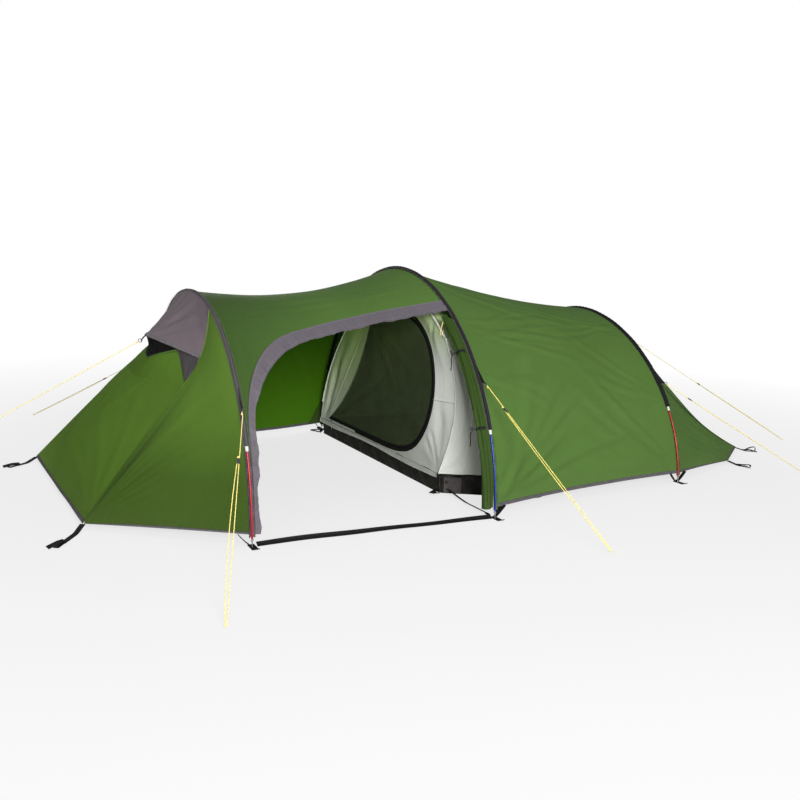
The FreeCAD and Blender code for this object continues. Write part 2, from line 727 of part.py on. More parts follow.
def wall_solid(points, x, thick=CLOTH):
    """Upright sheet across the tent from an outline of y, z places."""
    wire = Part.makePolygon([V(x - thick / 2, y, z) for y, z in points + [points[0]]])
    return Part.Face(wire).extrude(V(thick, 0, 0))


def leaf_outline(inset):
    """The door leaf: a straight hinge edge, a straight sill and a round free edge."""
    curve = spline([V(0, y, z) for y, z in LEAF + [HINGE_HEAD]])
    count = 36
    span = curve.LastParameter - curve.FirstParameter
    points = [HINGE_FOOT]
    for i in range(count + 1):
        p = curve.value(curve.FirstParameter + span * i / count)
        points.append((p.y, p.z))
    wire = Part.makePolygon([V(0, y, z) for y, z in points + [points[0]]])
    if abs(inset) < 1e-9:
        return wire
    return wire.makeOffset2D(-inset, 2)


def leaf_solid(inset, x=WALL_X, thick=CLOTH):
    face = Part.Face(leaf_outline(inset))
    face.translate(V(x - thick / 2, 0, 0))
    return face.extrude(V(thick, 0, 0))


def corner_wall(u, v):
    """Wall across the cut corner: u from the front wall to the side wall, v from tub to roof."""
    x0, x1 = WALL_X + 4, DIAGONAL_END_X - 3
    foot = V(x0, CORNER_Y + 1, TUB_H + 2)
    head = inner_point(x0, INNER_ROOF)
    front = on_line(foot, head, v) - V(0, 14 * math.sin(math.pi * v), 0)
    low = share_above_tub(DIAGONAL_END_X)
    back = inner_point(x1, low + (INNER_ROOF - low) * v)
    lift = inner_point(x0 + (x1 - x0) * u, INNER_ROOF) - on_line(head, inner_point(x1, INNER_ROOF), u)
    return on_line(front, back, u) + lift * v


def inner_strip(x0, x1, from_share, to_share):
    def surface(u, v):
        x = x0 + (x1 - x0) * u
        low = from_share(x) if callable(from_share) else from_share
        high = to_share(x) if callable(to_share) else to_share
        return inner_point(x, low + (high - low) * v)
    return surface


def foot_canopy(u, v):
    """Canopy from the rear hoop down to the low foot wall."""
    x0 = REAR["x"] + 3
    first = share_above_tub(REAR["x"])
    rim = inner_point(REAR["x"], first + (1 - 2 * first) * v)
    rim.x = x0
    angle = math.pi * v
    round_y = math.copysign(abs(math.cos(angle)) ** 0.45, math.cos(angle))
    end = V(FOOT_X - 4, -FOOT_HALF * round_y, TUB_H + 2 + (FOOT_H - TUB_H) * math.sin(angle) ** 0.8)
    flat = on_line(rim, end, u)
    return flat - V(0, 0, 16 * 4 * u * (1 - u) * math.sin(angle))


def foot_wall():
    """Low upright wall at the foot end, between the tub and the end of the canopy."""
    points = []
    for i in range(25):
        p = foot_canopy(1.0, 0.02 + 0.96 * i / 24.0)
        points.append((p.y, p.z))
    return wall_solid(points, FOOT_X, CLOTH)


def hanger(hoop, share, way):
    """Cord and hook between inner canopy and hoop."""
    inner = hoop_point(hoop, share, -INNER_GAP + 6) + V(way * 22, 0, 0)
    outer = hoop_point(hoop, share, -20) + V(way * 22, 0, 0)
    cord = rod(inner, outer, 1.5)
    hook = rod(on_line(inner, outer, 0.55), on_line(inner, outer, 0.9), 4.0)
    return cord.fuse(hook).removeSplitter()


def tub_tie(corner, foot):
    """Thin webbing from the tub to a pole foot."""
    away = (foot - corner).normalize()
    return strap(corner + away * 9, foot - away * 68, 10, 1.5)


def tub_patch():
    """Reinforcing patch on the outside of the tub's cut corner."""
    run = V(DIAGONAL_END_X - WALL_X, -inner_half(DIAGONAL_END_X) - CORNER_Y, 0).normalize()
    out = V(run.y, -run.x, 0)
    start = V(WALL_X, CORNER_Y, 20) + run * 55 + out * 1.5
    end = start + run * 75
    up = V(0, 0, TUB_H - 28)
    return Part.Face(Part.makePolygon([start, end, end + up, start + up, start])).extrude(out * 1.5)


def slider():
    """Zip slider with a pull and a cord, riding just below the inner door's straight lower edge."""
    y, z = HINGE_FOOT[0] - 60, HINGE_FOOT[1] - SLIDER_DROP
    x = WALL_X - CLOTH / 2 - 1.0
    body = Part.makeBox(4, 9, 12, V(x - 4, y - 4.5, z - 6))
    pull = Part.makeBox(1.5, 5, 24, V(x - 3.5, y - 2.5, z - 29))
    cord = rod(V(x - 2.75, y, z - 28), V(x - 2.75, y, z - 62), 1.4)
    return body.fuse(pull).fuse(cord).removeSplitter()


def inner_parts():
    seam = 0.0012
    roof = inner_strip(WALL_X + 3, REAR["x"], INNER_ROOF + seam, 1 - INNER_ROOF - seam)
    far_wall = inner_strip(WALL_X + 3, REAR["x"], 1 - INNER_ROOF + seam, lambda x: 1 - share_above_tub(x))
    near_wall = inner_strip(DIAGONAL_END_X, REAR["x"], share_above_tub, INNER_ROOF - seam)
    wall = wall_solid(front_arch(), WALL_X)
    wall = wall.cut(leaf_solid(-DOOR_GAP, WALL_X, 20))
    corner = V(WALL_X, CORNER_Y, 1)
    far_corner = V(WALL_X, inner_half(WALL_X), 1)
    side_corner = V(DIAGONAL_END_X, -inner_half(DIAGONAL_END_X), 1)
    hangers = []
    for share in (0.17, 0.24, 0.32, 0.41, 0.5, 0.59, 0.68, 0.76, 0.83):
        if share > 0.2:
            hangers.append(hanger(CENTRE, share, 1))
        hangers.append(hanger(REAR, share, -1))
    return {
        "inner_tub": inner_tub(),
        "tub_corner_patch": tub_patch(),
        "tub_ties": [tub_tie(corner, pin_place(CENTRE, -1)), tub_tie(far_corner, pin_place(CENTRE, 1)),
                     tub_tie(side_corner, pin_place(CENTRE, -1))],
        "inner_front_wall": wall,
        "inner_corner_wall": sheet(between(corner_wall, 0, 1, 0, 0.99), 9, 11),
        "inner_near_wall": sheet(near_wall, 9, 11),
        "inner_roof": sheet(roof, 11, 17),
        "inner_far_wall": sheet(far_wall, 11, 11),
        "inner_foot_canopy": sheet(foot_canopy, 9, 25),
        "inner_foot_wall": foot_wall(),
        "inner_hangers": hangers,
        "inner_door_net": leaf_solid(BINDING + 1.0),
        "inner_door_binding": leaf_solid(0.0).cut(leaf_solid(BINDING, WALL_X, 20)),
        "inner_zip_slider": slider(),
    }


# ---- write -------------------------------------------------------------------------------------
def pole_parts():
    parts = {"pole_ferrules": [], "pole_tips": [], "pole_cords": [], "sleeve_cuffs": []}
    for name, hoop in HOOPS.items():
        tubes, ferrules, cord = pole(hoop)
        parts["pole_" + name] = tubes
        parts["pole_ferrules"] += ferrules
        parts["pole_cords"].append(cord)
        parts["sleeve_" + name] = sleeve(hoop)
        for side in (-1, 1):
            parts["pole_tips"].append(pole_tip(hoop, side))
            parts["sleeve_cuffs"].append(cuff(hoop, side))
    return parts


def main():
    parts = {}
    for group in (pole_parts, fly_between_hoops, nose_parts, tail_parts, webbing_parts, guy_parts,
                  door_roll_parts, inner_parts):
        parts.update(group())
    os.makedirs("parts", exist_ok=True)
    for name, shapes in parts.items():
        shapes = shapes if isinstance(shapes, list) else [shapes]
        body = Part.makeCompound(shapes) if len(shapes) > 1 else shapes[0]
        good = len(body.Solids) >= len(shapes) and all(s.isValid() and s.Volume > 0 for s in body.Solids)
        print(name, len(body.Solids), "solids", "ok" if good else "BAD")
        body.exportStep("parts/" + name + ".step")


main()
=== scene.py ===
"""Looks of a three-hoop tunnel tent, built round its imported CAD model. Metres, same frame as the CAD."""

import math

import bmesh
import bpy
import numpy as np
from mathutils import Matrix, Vector


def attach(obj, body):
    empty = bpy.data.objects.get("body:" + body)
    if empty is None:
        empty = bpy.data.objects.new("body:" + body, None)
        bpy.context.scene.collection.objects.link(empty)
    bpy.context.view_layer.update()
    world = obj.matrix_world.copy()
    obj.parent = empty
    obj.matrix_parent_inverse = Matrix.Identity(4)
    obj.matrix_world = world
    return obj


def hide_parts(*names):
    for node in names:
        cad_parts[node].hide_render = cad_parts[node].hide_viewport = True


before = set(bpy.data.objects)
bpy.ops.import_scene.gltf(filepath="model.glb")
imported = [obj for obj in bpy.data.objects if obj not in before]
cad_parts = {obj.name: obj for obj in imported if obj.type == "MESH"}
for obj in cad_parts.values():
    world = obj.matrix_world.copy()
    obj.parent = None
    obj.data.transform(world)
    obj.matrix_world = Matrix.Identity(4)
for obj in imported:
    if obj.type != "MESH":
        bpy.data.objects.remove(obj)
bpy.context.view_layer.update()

# ---- dimensions, the same as the CAD's -----------------------------------------------------------
# Metres; x runs from nose to tail, z up, and the doorway is on the -y side, the near side.
# A hoop stands at x; half is its half width on the ground and round the power of its superellipse.
FRONT = {"x": -1.200, "half": 1.000, "height": 1.040, "round": 2.10}
CENTRE = {"x": 0.0, "half": 1.090, "height": 1.180, "round": 1.95}
REAR = {"x": 1.380, "half": 0.960, "height": 0.945, "round": 1.85}
HOOPS = {"front": FRONT, "centre": CENTRE, "rear": REAR}
PORCH_SAG, BODY_SAG = 0.070, 0.040      # share by which the cloth is drawn in half-way between its hoops
HEM_Z = 0.055
EDGE = 0.009            # the cloth reaches this close to a hoop's plane
SLEEVE_FROM_Z = 0.424   # where the sleeves start on the poles
NOSE_NEAR, NOSE_FAR = np.array([-1.820, -0.490, 0.026]), np.array([-1.905, 0.865, 0.026])
TAIL_SIDE, TAIL_END = np.array([2.030, -0.768, 0.024]), np.array([2.400, -0.520, 0.024])
TAIL_SEAM_Z = 0.560
NOSE_SEAM = np.array([[-1.510, -0.470, 0.430], [-1.345, -0.450, 0.635], [-1.265, -0.420, 0.746],
                      [-1.232, -0.405, 0.832]])
NOSE_SEAM_S = 0.381     # share of the front hoop's turn where the nose's side seams meet it
GUSSET_FOOT_T, GUSSET_SIDE_T = 0.673, 0.794     # places along those seams that bound the vent's gussets
SILL_END, SILL_MID = np.array([-1.325, -0.250, 0.771]), np.array([-1.420, 0.0, 0.700])
HOOD_TIP = np.array([-1.432, 0.0, 0.815])
GUSSET_SIDE = NOSE_SEAM[2]
ROLL_R, ROLL_X, ROLL_IN = 0.034, -0.052, 0.020  # rolled door: its radius, its x, and how far inside the hoop
WALL_X = -0.045         # front wall of the inner tent
INNER_GAP = 0.092       # between a hoop and the inner tent
FAR_SLACK = 0.120       # how far the inner's far side hangs in at the front wall
TUB_H = 0.110
INNER_ROOF = 0.28       # share of a hoop's turn where the inner tent's roof begins
CORNER_Y = -0.620       # near corner of the front wall, from where a diagonal wall runs back to x = 0.410
DIAGONAL_END_X = 0.410
FOOT_X, FOOT_HALF, FOOT_H = 2.060, 0.600, 0.205
HINGE_FOOT, HINGE_HEAD = (0.860, 0.132), (0.215, 0.936)
LEAF = [(0.0, 0.132), (-0.330, 0.196), (-0.500, 0.400), (-0.532, 0.640), (-0.455, 0.812), (-0.300, 0.915),
        (-0.060, 0.958)]
BINDING = 0.022         # width of the binding round the inner door
RING_R = 0.009          # rings of the guy lines

CLOTH = 0.0012          # thickness of the cloth as it is drawn
EDGE_STEP = np.array([EDGE, 0, 0])
PORCH_LENGTH = -FRONT["x"]
ARC = 3.52              # length over the centre hoop, to turn shares into distances
ROOF_FROM, ROOF_TO = 0.38, 0.62         # shares of a hoop's turn that the roof's cloth covers
HOOKS = (0.17, 0.24, 0.32, 0.41, 0.5, 0.59, 0.68, 0.76, 0.83)
TIE_Z = (0.430, 0.780)
CORNER_BOW = 0.072      # how far the slack corner seam of the inner tent bows out half-way up
LEAF_MIDDLE = np.array([0.14, 0.50])
RUNNER_LENGTH, STRAND_GAP, CORD_R = 0.030, 0.006, 0.0018
SEAMS = {"sill": [], "hems": [], "nose": [], "tail": []}
SIDE_HEMS = []
ZIP_RUN = (30, 282)                   # the points of the door leaf's outline that carry the zip
CANOPY_END_X = REAR["x"] + 0.003      # the inner canopy's edge at the rear hoop


# ---- shapes of the tent --------------------------------------------------------------------------
def arr(*v):
    return np.stack(np.broadcast_arrays(*[np.asarray(a, float) for a in v]), axis=-1)


def hoop_point(hoop, share, grow=0.0):
    share = np.asarray(share, float)
    c, s = np.cos(math.pi * share), np.sin(math.pi * share)
    power = 2.0 / hoop["round"]
    y = -(hoop["half"] + grow) * np.sign(c) * np.abs(c) ** power
    z = (hoop["height"] + grow) * np.abs(s) ** power
    return arr(hoop["x"] + 0 * share, y, z)


def share_at_height(hoop, z, grow=0.0):
    return math.asin((z / (hoop["height"] + grow)) ** (hoop["round"] / 2.0)) / math.pi


def stretched(a, b, sag, u, share):
    pull = 1.0 - sag * 4 * u * (1 - u)
    p, q = hoop_point(a, share), hoop_point(b, share)
    flat = lerp(p, q, u)
    return arr(flat[..., 0], flat[..., 1] * pull, flat[..., 2] * pull)


def lerp(a, b, t):
    """Points from a to b at the shares t."""
    a, b = np.asarray(a, float), np.asarray(b, float)
    return a + (b - a) * np.asarray(t)[..., None]


def rows_between(a, b, t):
    """Rows from line a to line b, one for each t."""
    t = t if a.ndim == 1 else t[:, None]
    return a[:, None] * (1 - t) + b[:, None] * t


def clamp(x):
    return np.clip(x, 0, 1)


def hump(x):
    """Rises from 0 to 1 half-way and falls back to 0."""
    return np.sin(math.pi * x)


def sag_curve(u):
    return 4 * u * (1 - u)


def wave(run, length, phase=0.0):
    return np.sin(run * 2 * math.pi / length + phase)


def run_along(points):
    """Distance along a line at each of its points."""
    return np.concatenate([[0], np.cumsum(np.linalg.norm(np.diff(points, axis=0), axis=-1))])


def unit(v):
    v = np.asarray(v, float)
    return v / np.linalg.norm(v)


def flip_y(p):
    return p * np.array([1.0, -1.0, 1.0])


def natural_spline(points):
    """Smooth curve through the points; returns a function of t from 0 to 1."""
    p = np.asarray(points, float)
    t = run_along(p)
    h = np.diff(t)
    n = len(p)
    m = np.zeros((n, n))
    r = np.zeros_like(p)
    m[0, 0] = m[-1, -1] = 1.0
    for i in range(1, n - 1):
        m[i, i - 1], m[i, i], m[i, i + 1] = h[i - 1], 2 * (h[i - 1] + h[i]), h[i]
        r[i] = 6 * ((p[i + 1] - p[i]) / h[i] - (p[i] - p[i - 1]) / h[i - 1])
    k = np.linalg.solve(m, r)

    def at(s):
        x = clamp(np.asarray(s, float)) * t[-1]
        i = np.clip(np.searchsorted(t, x, side="right") - 1, 0, n - 2)
        a, b = (t[i + 1] - x)[..., None], (x - t[i])[..., None]
        hi = h[i][..., None]
        return (k[i] * a ** 3 + k[i + 1] * b ** 3) / (6 * hi) + (p[i] / hi - k[i] * hi / 6) * a \
            + (p[i + 1] / hi - k[i + 1] * hi / 6) * b
    return at


# ---- mesh building -------------------------------------------------------------------------------
def new_object(name, verts, faces, mat, body, uvs=None, smooth=True, replaces=()):
    mesh = bpy.data.meshes.new(name)
    mesh.from_pydata([tuple(v) for v in np.asarray(verts, float)], [], faces)
    mesh.validate()
    if uvs is not None:
        layer = mesh.uv_layers.new(name="UVMap")
        idx = np.empty(len(mesh.loops), dtype=np.int32)
        mesh.loops.foreach_get("vertex_index", idx)
        layer.data.foreach_set("uv", np.asarray(uvs, np.float32)[idx].ravel())
    mesh.polygons.foreach_set("use_smooth", [smooth] * len(mesh.polygons))
    obj = bpy.data.objects.new(name, mesh)
    bpy.context.scene.collection.objects.link(obj)
    mesh.materials.append(mat)
    if body:
        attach(obj, body)
    if replaces:
        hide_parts(*replaces)
    return obj


def grid_normals(p, centre):
    n = np.cross(np.gradient(p, axis=0), np.gradient(p, axis=1))
    length = np.linalg.norm(n, axis=-1, keepdims=True)
    bad = length[..., 0] < 1e-12
    n = n / np.maximum(length, 1e-12)
    if centre is not None:
        away = p - np.asarray(centre)
        if np.sum(n * away) < 0:
            n = -n
    if bad.any():
        good = n[~bad]
        n[bad] = good.mean(axis=0) / np.linalg.norm(good.mean(axis=0))
    return n


def grid_quads(nu, nv, base=0):
    i, j = np.meshgrid(np.arange(nu - 1), np.arange(nv - 1), indexing="ij")
    a = (i * nv + j).ravel() + base
    return np.stack([a, a + nv, a + nv + 1, a + 1], -1)


def sheet_data(p, thick=CLOTH, centre=(0.3, 0, 0.2)):
    """Closed thin sheet round a grid of points: vertices, faces and UVs in metres."""
    nu, nv = p.shape[:2]
    n = grid_normals(p, centre)
    top, bottom = p + n * (thick / 2), p - n * (thick / 2)
    along, around = run_along(p[:, nv // 2]), run_along(p[nu // 2])
    uv = np.stack(np.meshgrid(along, around, indexing="ij"), -1).reshape(-1, 2)
    quads = grid_quads(nu, nv)
    mi, mj = nu // 2, nv // 2
    face_n = np.cross(p[min(mi + 1, nu - 1), mj] - p[mi - 1, mj], p[mi, min(mj + 1, nv - 1)] - p[mi, mj - 1])
    flip = np.dot(face_n, n[mi, mj]) < 0
    if flip:
        quads = quads[:, ::-1]
    off = nu * nv
    faces = quads.tolist() + (quads[:, ::-1] + off).tolist()
    rim = [k * nv for k in range(nu)] + [(nu - 1) * nv + k for k in range(1, nv)]
    rim += [k * nv + nv - 1 for k in range(nu - 2, -1, -1)] + [k for k in range(nv - 2, 0, -1)]
    for k in range(len(rim)):
        r, s = rim[k], rim[(k + 1) % len(rim)]
        faces.append([r, r + off, s + off, s] if flip else [s, s + off, r + off, r])
    verts = np.concatenate([top.reshape(-1, 3), bottom.reshape(-1, 3)])
    return verts, faces, np.concatenate([uv, uv])


def sheet(name, p, mat, *replaces, body="tent", **kw):
    """A sheet of cloth as an object of its own, standing for the CAD nodes named in replaces."""
    verts, faces, uvs = sheet_data(p, **kw)
    return new_object(name, verts, faces, mat, body, uvs, True, replaces)


def joined(name, parts, mat, *replaces, body="tent"):
    """One object from several (verts, faces, uvs)."""
    verts, faces, uvs, base = [], [], [], 0
    for v, f, t in parts:
        verts.append(v)
        uvs.append(t)
        faces += [[k + base for k in q] for q in f]
        base += len(v)
    return new_object(name, np.concatenate(verts), faces, mat, body, np.concatenate(uvs), True, replaces)


def uv_grid(nu, nv):
    return np.meshgrid(np.linspace(0, 1, nu), np.linspace(0, 1, nv), indexing="ij")


def tangents(p):
    t = np.gradient(p, axis=0)
    return t / np.maximum(np.linalg.norm(t, axis=1, keepdims=True), 1e-12)


def frames(p):
    """Unit side and normal along a line, turning as little as they can."""
    t = tangents(p)
    ref = np.array([0, 0, 1.0] if abs(t[0][2]) < 0.9 else [1.0, 0, 0])
    side = np.zeros_like(p)
    for i in range(len(p)):
        s = ref - t[i] * np.dot(ref, t[i])
        if np.linalg.norm(s) < 1e-6:
            s = np.cross(t[i], [0.3, 0.5, 0.8])
        side[i] = ref = s / np.linalg.norm(s)
    return side, np.cross(t, side)


def ring_mesh(rings, along, around):
    """Closed solid through a row of closed rings, with flat ends and UVs from the two distances."""
    n, m = rings.shape[:2]
    uv = np.stack(np.broadcast_arrays(along[:, None], around[None, :]), -1).reshape(-1, 2)
    faces = [[i * m + k, i * m + (k + 1) % m, (i + 1) * m + (k + 1) % m, (i + 1) * m + k]
             for i in range(n - 1) for k in range(m)]
    faces += [list(range(m))[::-1], [(n - 1) * m + k for k in range(m)]]
    return rings.reshape(-1, 3), faces, uv


def tube_data(points, radius, sides=8):
    """Capped tube along points; radius may be a number or one per point."""
    p = np.asarray(points, float)
    a, b = frames(p)
    r = np.broadcast_to(np.asarray(radius, float), (len(p),))
    ang = np.linspace(0, 2 * math.pi, sides, endpoint=False)
    rings = p[:, None] + r[:, None, None] * (
        np.cos(ang)[None, :, None] * a[:, None] + np.sin(ang)[None, :, None] * b[:, None])
    return ring_mesh(rings, run_along(p), ang * r.mean())


def ribbon_data(points, width_dirs, width, thick=0.0016):
    """Flat webbing along points; width_dirs gives the direction across, one or one per point."""
    p = np.asarray(points, float)
    t = tangents(p)
    w = np.broadcast_to(np.asarray(width_dirs, float), p.shape)
    w = w - t * np.sum(w * t, axis=1, keepdims=True)
    w = w / np.linalg.norm(w, axis=1, keepdims=True)
    width = np.broadcast_to(np.asarray(width, float), (len(p),))[:, None]
    steps = np.linspace(-0.5, 0.5, 5)
    g = np.stack([p + w * width * s for s in steps], axis=1)
    g[..., 2] += np.clip(thick / 2 + 0.0004 - g[..., 2].min(axis=1), 0, 0.012)[:, None]
    return sheet_data(g, thick, centre=None)


def dense(points, step=0.01):
    """Points of a polyline made close together."""
    out = [np.asarray(points[0], float)]
    for a, b in zip(points, points[1:]):
        a, b = np.asarray(a, float), np.asarray(b, float)
        n = max(1, int(np.linalg.norm(b - a) / step))
        out += [a + (b - a) * k / n for k in range(1, n + 1)]
    return np.array(out)


# ---- folds in tight cloth ------------------------------------------------------------------------
def fold_field(q, folds):
    """Height of all folds at places q. A fold is (start, end, width, height); it fades towards both ends."""
    total = np.zeros(q.shape[:-1])
    for a, b, width, height in folds:
        a, b = np.asarray(a, float), np.asarray(b, float)
        d = b - a
        length = np.linalg.norm(d)
        d = d / length
        rel = q - a
        t = clamp(rel @ d / length)
        side = (rel @ np.array([-d[1], d[0]])) + 0.012 * np.sin(7.0 * t + 10 * a[0])
        w = width * (0.55 + 0.9 * t)
        x = side / w
        inside = (rel @ d > -0.02) & (rel @ d < length + 0.02)
        ridge = np.exp(-x ** 2) - 0.45 * np.exp(-((x - 1.7) ** 2)) - 0.45 * np.exp(-((x + 1.7) ** 2))
        total += height * ridge * hump(clamp(t)) ** 0.7 * inside
    return total


def fan(start, ends_a, ends_b, count, width, height, seed, spread=0.0):
    """Folds that run from one point to places spread between two ends."""
    r = np.random.default_rng(seed)
    folds = []
    start, ends_a, ends_b = (np.asarray(v, float) for v in (start, ends_a, ends_b))
    for i in range(count):
        t = (i + 0.5 + r.uniform(-0.35, 0.35)) / count
        tip = ends_a + (ends_b - ends_a) * t
        shift = r.uniform(-spread, spread, 2)
        folds.append((start + shift, tip, width * r.uniform(0.7, 1.3), height * r.uniform(0.5, 1.2)))
    return folds


def fans(rows, scale=1.0):
    """Folds of several fans; a row is (start, one end, other end, count, width, height, seed, spread)."""
    return [(a, b, width, height * scale) for row in rows for a, b, width, height in fan(*row)]


def ripple(q, scale, height, seed):
    """Soft uneven surface made of a few crossing waves."""
    r = np.random.default_rng(seed)
    total = np.zeros(q.shape[:-1])
    for _ in range(7):
        ang, k, ph = r.uniform(0, math.pi), r.uniform(0.6, 1.6) / scale, r.uniform(0, 6.28)
        total += np.sin(2 * math.pi * k * (q[..., 0] * math.cos(ang) + q[..., 1] * math.sin(ang)) + ph)
    return total / 7 * height


class Shader:
    """A node tree with short ways to add nodes to it."""

    def __init__(self, owner, slot=None):
        owner.use_nodes = True
        self.owner, self.tree = owner, owner.node_tree
        self.tree.nodes.clear()

    def node(self, kind, settings=None, **inputs):
        made = self.tree.nodes.new("ShaderNode" + kind)
        for key, value in (settings or {}).items():
            setattr(made, key, value)
        for key, value in inputs.items():
            self.plug(made.inputs[key.replace("_", " ")], value)
        return made

    def plug(self, socket, value):
        if isinstance(value, bpy.types.NodeSocket):
            self.tree.links.new(value, socket)
        elif isinstance(value, tuple) and len(value) == 3 and socket.type == "RGBA":
            socket.default_value = value + (1.0,)
        else:
            socket.default_value = value

    def filled(self, kind, settings, places):
        """A node whose inputs are filled by their place in its list."""
        made = self.node(kind, settings)
        for place, value in places.items():
            self.plug(made.inputs[place], value)
        return made

    def calc(self, operation, a, b=0.0):
        return self.filled("Math", {"operation": operation}, {0: a, 1: b}).outputs[0]

    def times(self, a, b):
        return self.calc("MULTIPLY", a, b)

    def plus(self, a, b):
        return self.calc("ADD", a, b)

    def wave(self, value, step):
        return self.calc("SINE", self.times(value, 2 * math.pi / step))

    def mix(self, factor, a, b):
        return self.filled("Mix", {"data_type": "RGBA"}, {0: factor, 6: a, 7: b}).outputs[2]

    def spread(self, value, low, high, to_low=0.0, to_high=1.0):
        ends = {"From Min": low, "From Max": high, "To Min": to_low, "To Max": to_high}
        return self.filled("MapRange", {"clamp": True}, {"Value": value, **ends}).outputs[0]

    def noise(self, vector, scale, detail=3.0, rough=0.5):
        made = self.node("TexNoise", Vector=vector, Scale=scale, Detail=detail, Roughness=rough)
        return made.outputs["Fac"]

    def bumped(self, *layers):
        """Bump from (height, strength, distance) layers, one on top of another."""
        normal = None
        for height, strength, distance in layers:
            made = self.node("Bump", Height=height, Strength=strength, Distance=distance)
            if normal is not None:
                self.plug(made.inputs["Normal"], normal)
            normal = made.outputs["Normal"]
        return normal

    def place(self):
        return self.node("NewGeometry").outputs["Position"]

    def uv(self):
        """X along and Y across the piece, in metres."""
        return self.parts(self.node("UVMap").outputs["UV"])

    def parts(self, vector):
        return self.node("SeparateXYZ", Vector=vector).outputs

    def skin(self, tone, rough, **inputs):
        return self.node("BsdfPrincipled", Base_Color=tone, Roughness=rough, **inputs)

    def mix_shaders(self, factor, a, b):
        return self.filled("MixShader", {}, {0: factor, 1: a.outputs[0], 2: b.outputs[0]})

    def finish(self, shader, kind="OutputMaterial"):
        self.node(kind, Surface=shader.outputs[0])
        return self.owner


def material(name, slot=None):
    return Shader(bpy.data.materials.new(name), slot)


def darker(colour, share):
    return tuple(c * share for c in colour)


DUST = (0.30, 0.27, 0.20)
THREAD_PITCH = 0.0009


def cloth(name, slot, colour, glow=0.2, glow_colour=None, rough=0.55, shine=0.35, rip=0.006, crumple=0.35,
          variation=0.90, dust=0.10, painted_green_light=None, fade=None, inside=None):
    """Coated woven cloth that lets some light through, with rip-stop grid, weave, creases and dirt low down.

    painted_green_light is painted light, the green of light coming through the flysheet, laid on the far and
    high parts; fade (axis, low, high, dark, light) paints light and shade along an axis; and inside is
    painted light, the colour of the side that faces the tent's long axis, as lit from behind through the
    cloth.
    """
    s = material(name, slot)
    place, uv = s.place(), s.uv()
    at = s.parts(place)
    fine = s.noise(place, 55.0, 4.0, 0.6)
    tone = s.mix(s.spread(s.noise(place, 1.9, 3.0), 0.35, 0.65), colour, darker(colour, variation))
    tone = s.mix(s.spread(fine, 0.3, 0.7, 0.0, 0.25), tone, darker(colour, 0.8))
    tone = s.mix(s.times(s.spread(at["Z"], 0.16, 0.0, 0.0, dust), s.spread(fine, 0.35, 0.65)), tone, DUST)
    # painted light: the side facing the tent's long axis takes the inside colour, the green of light coming
    # through the cloth from behind
    if inside:
        from_axis = s.filled("VectorMath", {"operation": "MULTIPLY"}, {0: place, 1: (0, 1, 1)}).outputs[0]
        true_normal = s.node("NewGeometry").outputs["True Normal"]
        facing = s.filled("VectorMath", {"operation": "DOT_PRODUCT"}, {0: from_axis, 1: true_normal})
        tone = s.mix(s.spread(facing.outputs["Value"], 0.0, -0.01), tone, inside)
    # painted light and shade: the colour is scaled from dark to light along one axis
    if fade:
        axis, low, high, dark, light = fade
        shade = s.spread(at[axis], low, high, dark, light)
        tone = s.node("VectorMath", {"operation": "SCALE"}, Vector=tone, Scale=shade).outputs[0]
    # painted light: green light from the flysheet laid on the far and high parts
    if painted_green_light:
        far = s.times(s.spread(at["Z"], 0.10, 0.80), s.spread(at["Y"], -0.30, 0.40))
        amount = s.times(s.calc("MAXIMUM", far, s.spread(at["Z"], 0.72, 1.02)), 0.92)
        tone = s.mix(amount, tone, painted_green_light)
    lines = s.calc("MAXIMUM", *(s.spread(s.calc("PINGPONG", uv[k], rip / 2), 0.0004, 0.0001) for k in "XY"))
    tone = s.mix(s.times(lines, 0.25), tone, darker(colour, 0.7))
    weave = s.plus(s.times(*(s.wave(uv[k], THREAD_PITCH) for k in "XY")), s.times(lines, 1.5))
    normal = s.bumped((s.noise(place, 16.0, 4.0, 0.55), crumple, 0.006), (weave, 0.5, 0.00012))
    worn = s.spread(fine, 0.3, 0.7, rough - 0.06, rough + 0.08)
    skin = s.skin(tone, worn, Specular_IOR_Level=shine, Normal=normal)
    through = s.node("BsdfTranslucent", Color=s.mix(0.25, glow_colour or colour, tone), Normal=normal)
    return s.finish(s.mix_shaders(glow, skin, through))


def tape(name, slot, colour, thread_colour, row=0.003, width=0.018, rough=0.7, glow=0.0, rib=0.0013):
    """Woven tape or webbing with a row of stitches along each edge."""
    s = material(name, slot)
    uv = s.uv()
    edge = s.calc("PINGPONG", uv["Y"], width / 2)
    line = s.spread(s.calc("ABSOLUTE", s.calc("SUBTRACT", edge, row)), 0.0010, 0.0004)
    stitch = s.times(line, s.spread(s.calc("PINGPONG", uv["X"], 0.0018), 0.0003, 0.0007))
    worn = s.noise(s.place(), 38.0, 4.0, 0.6)
    tone = s.mix(s.spread(worn, 0.35, 0.7), colour, darker(colour, 0.72))
    tone = s.mix(stitch, tone, thread_colour)
    height = s.plus(s.times(s.wave(uv["X"], rib), 0.35), s.times(stitch, 1.4))
    normal = s.bumped((worn, 0.3, 0.002), (height, 0.6, 0.0003))
    skin = s.skin(tone, rough, Specular_IOR_Level=0.1, Normal=normal)
    if glow:
        return s.finish(s.mix_shaders(glow, skin, s.node("BsdfTranslucent", Color=colour)))
    return s.finish(skin)


def netting(name, slot, colour, cover, pitch=0.0016):
    """Fine netting: dark threads with see-through holes."""
    s = material(name, slot)
    uv = s.uv()
    threads = s.calc("MINIMUM", *(s.calc("PINGPONG", uv[k], pitch / 2) for k in "XY"))
    hole = s.times(s.spread(threads, pitch * 0.12, pitch * 0.30), min(1.0, (1 - cover) * 2.2))
    tone = s.mix(s.noise(s.place(), 12.0, 3.0), colour, darker(colour, 0.6))
    skin = s.skin(tone, 0.8, Specular_IOR_Level=0.1, Normal=s.bumped((threads, 0.4, 0.0004)))
    return s.finish(s.mix_shaders(hole, skin, s.node("BsdfTransparent")))


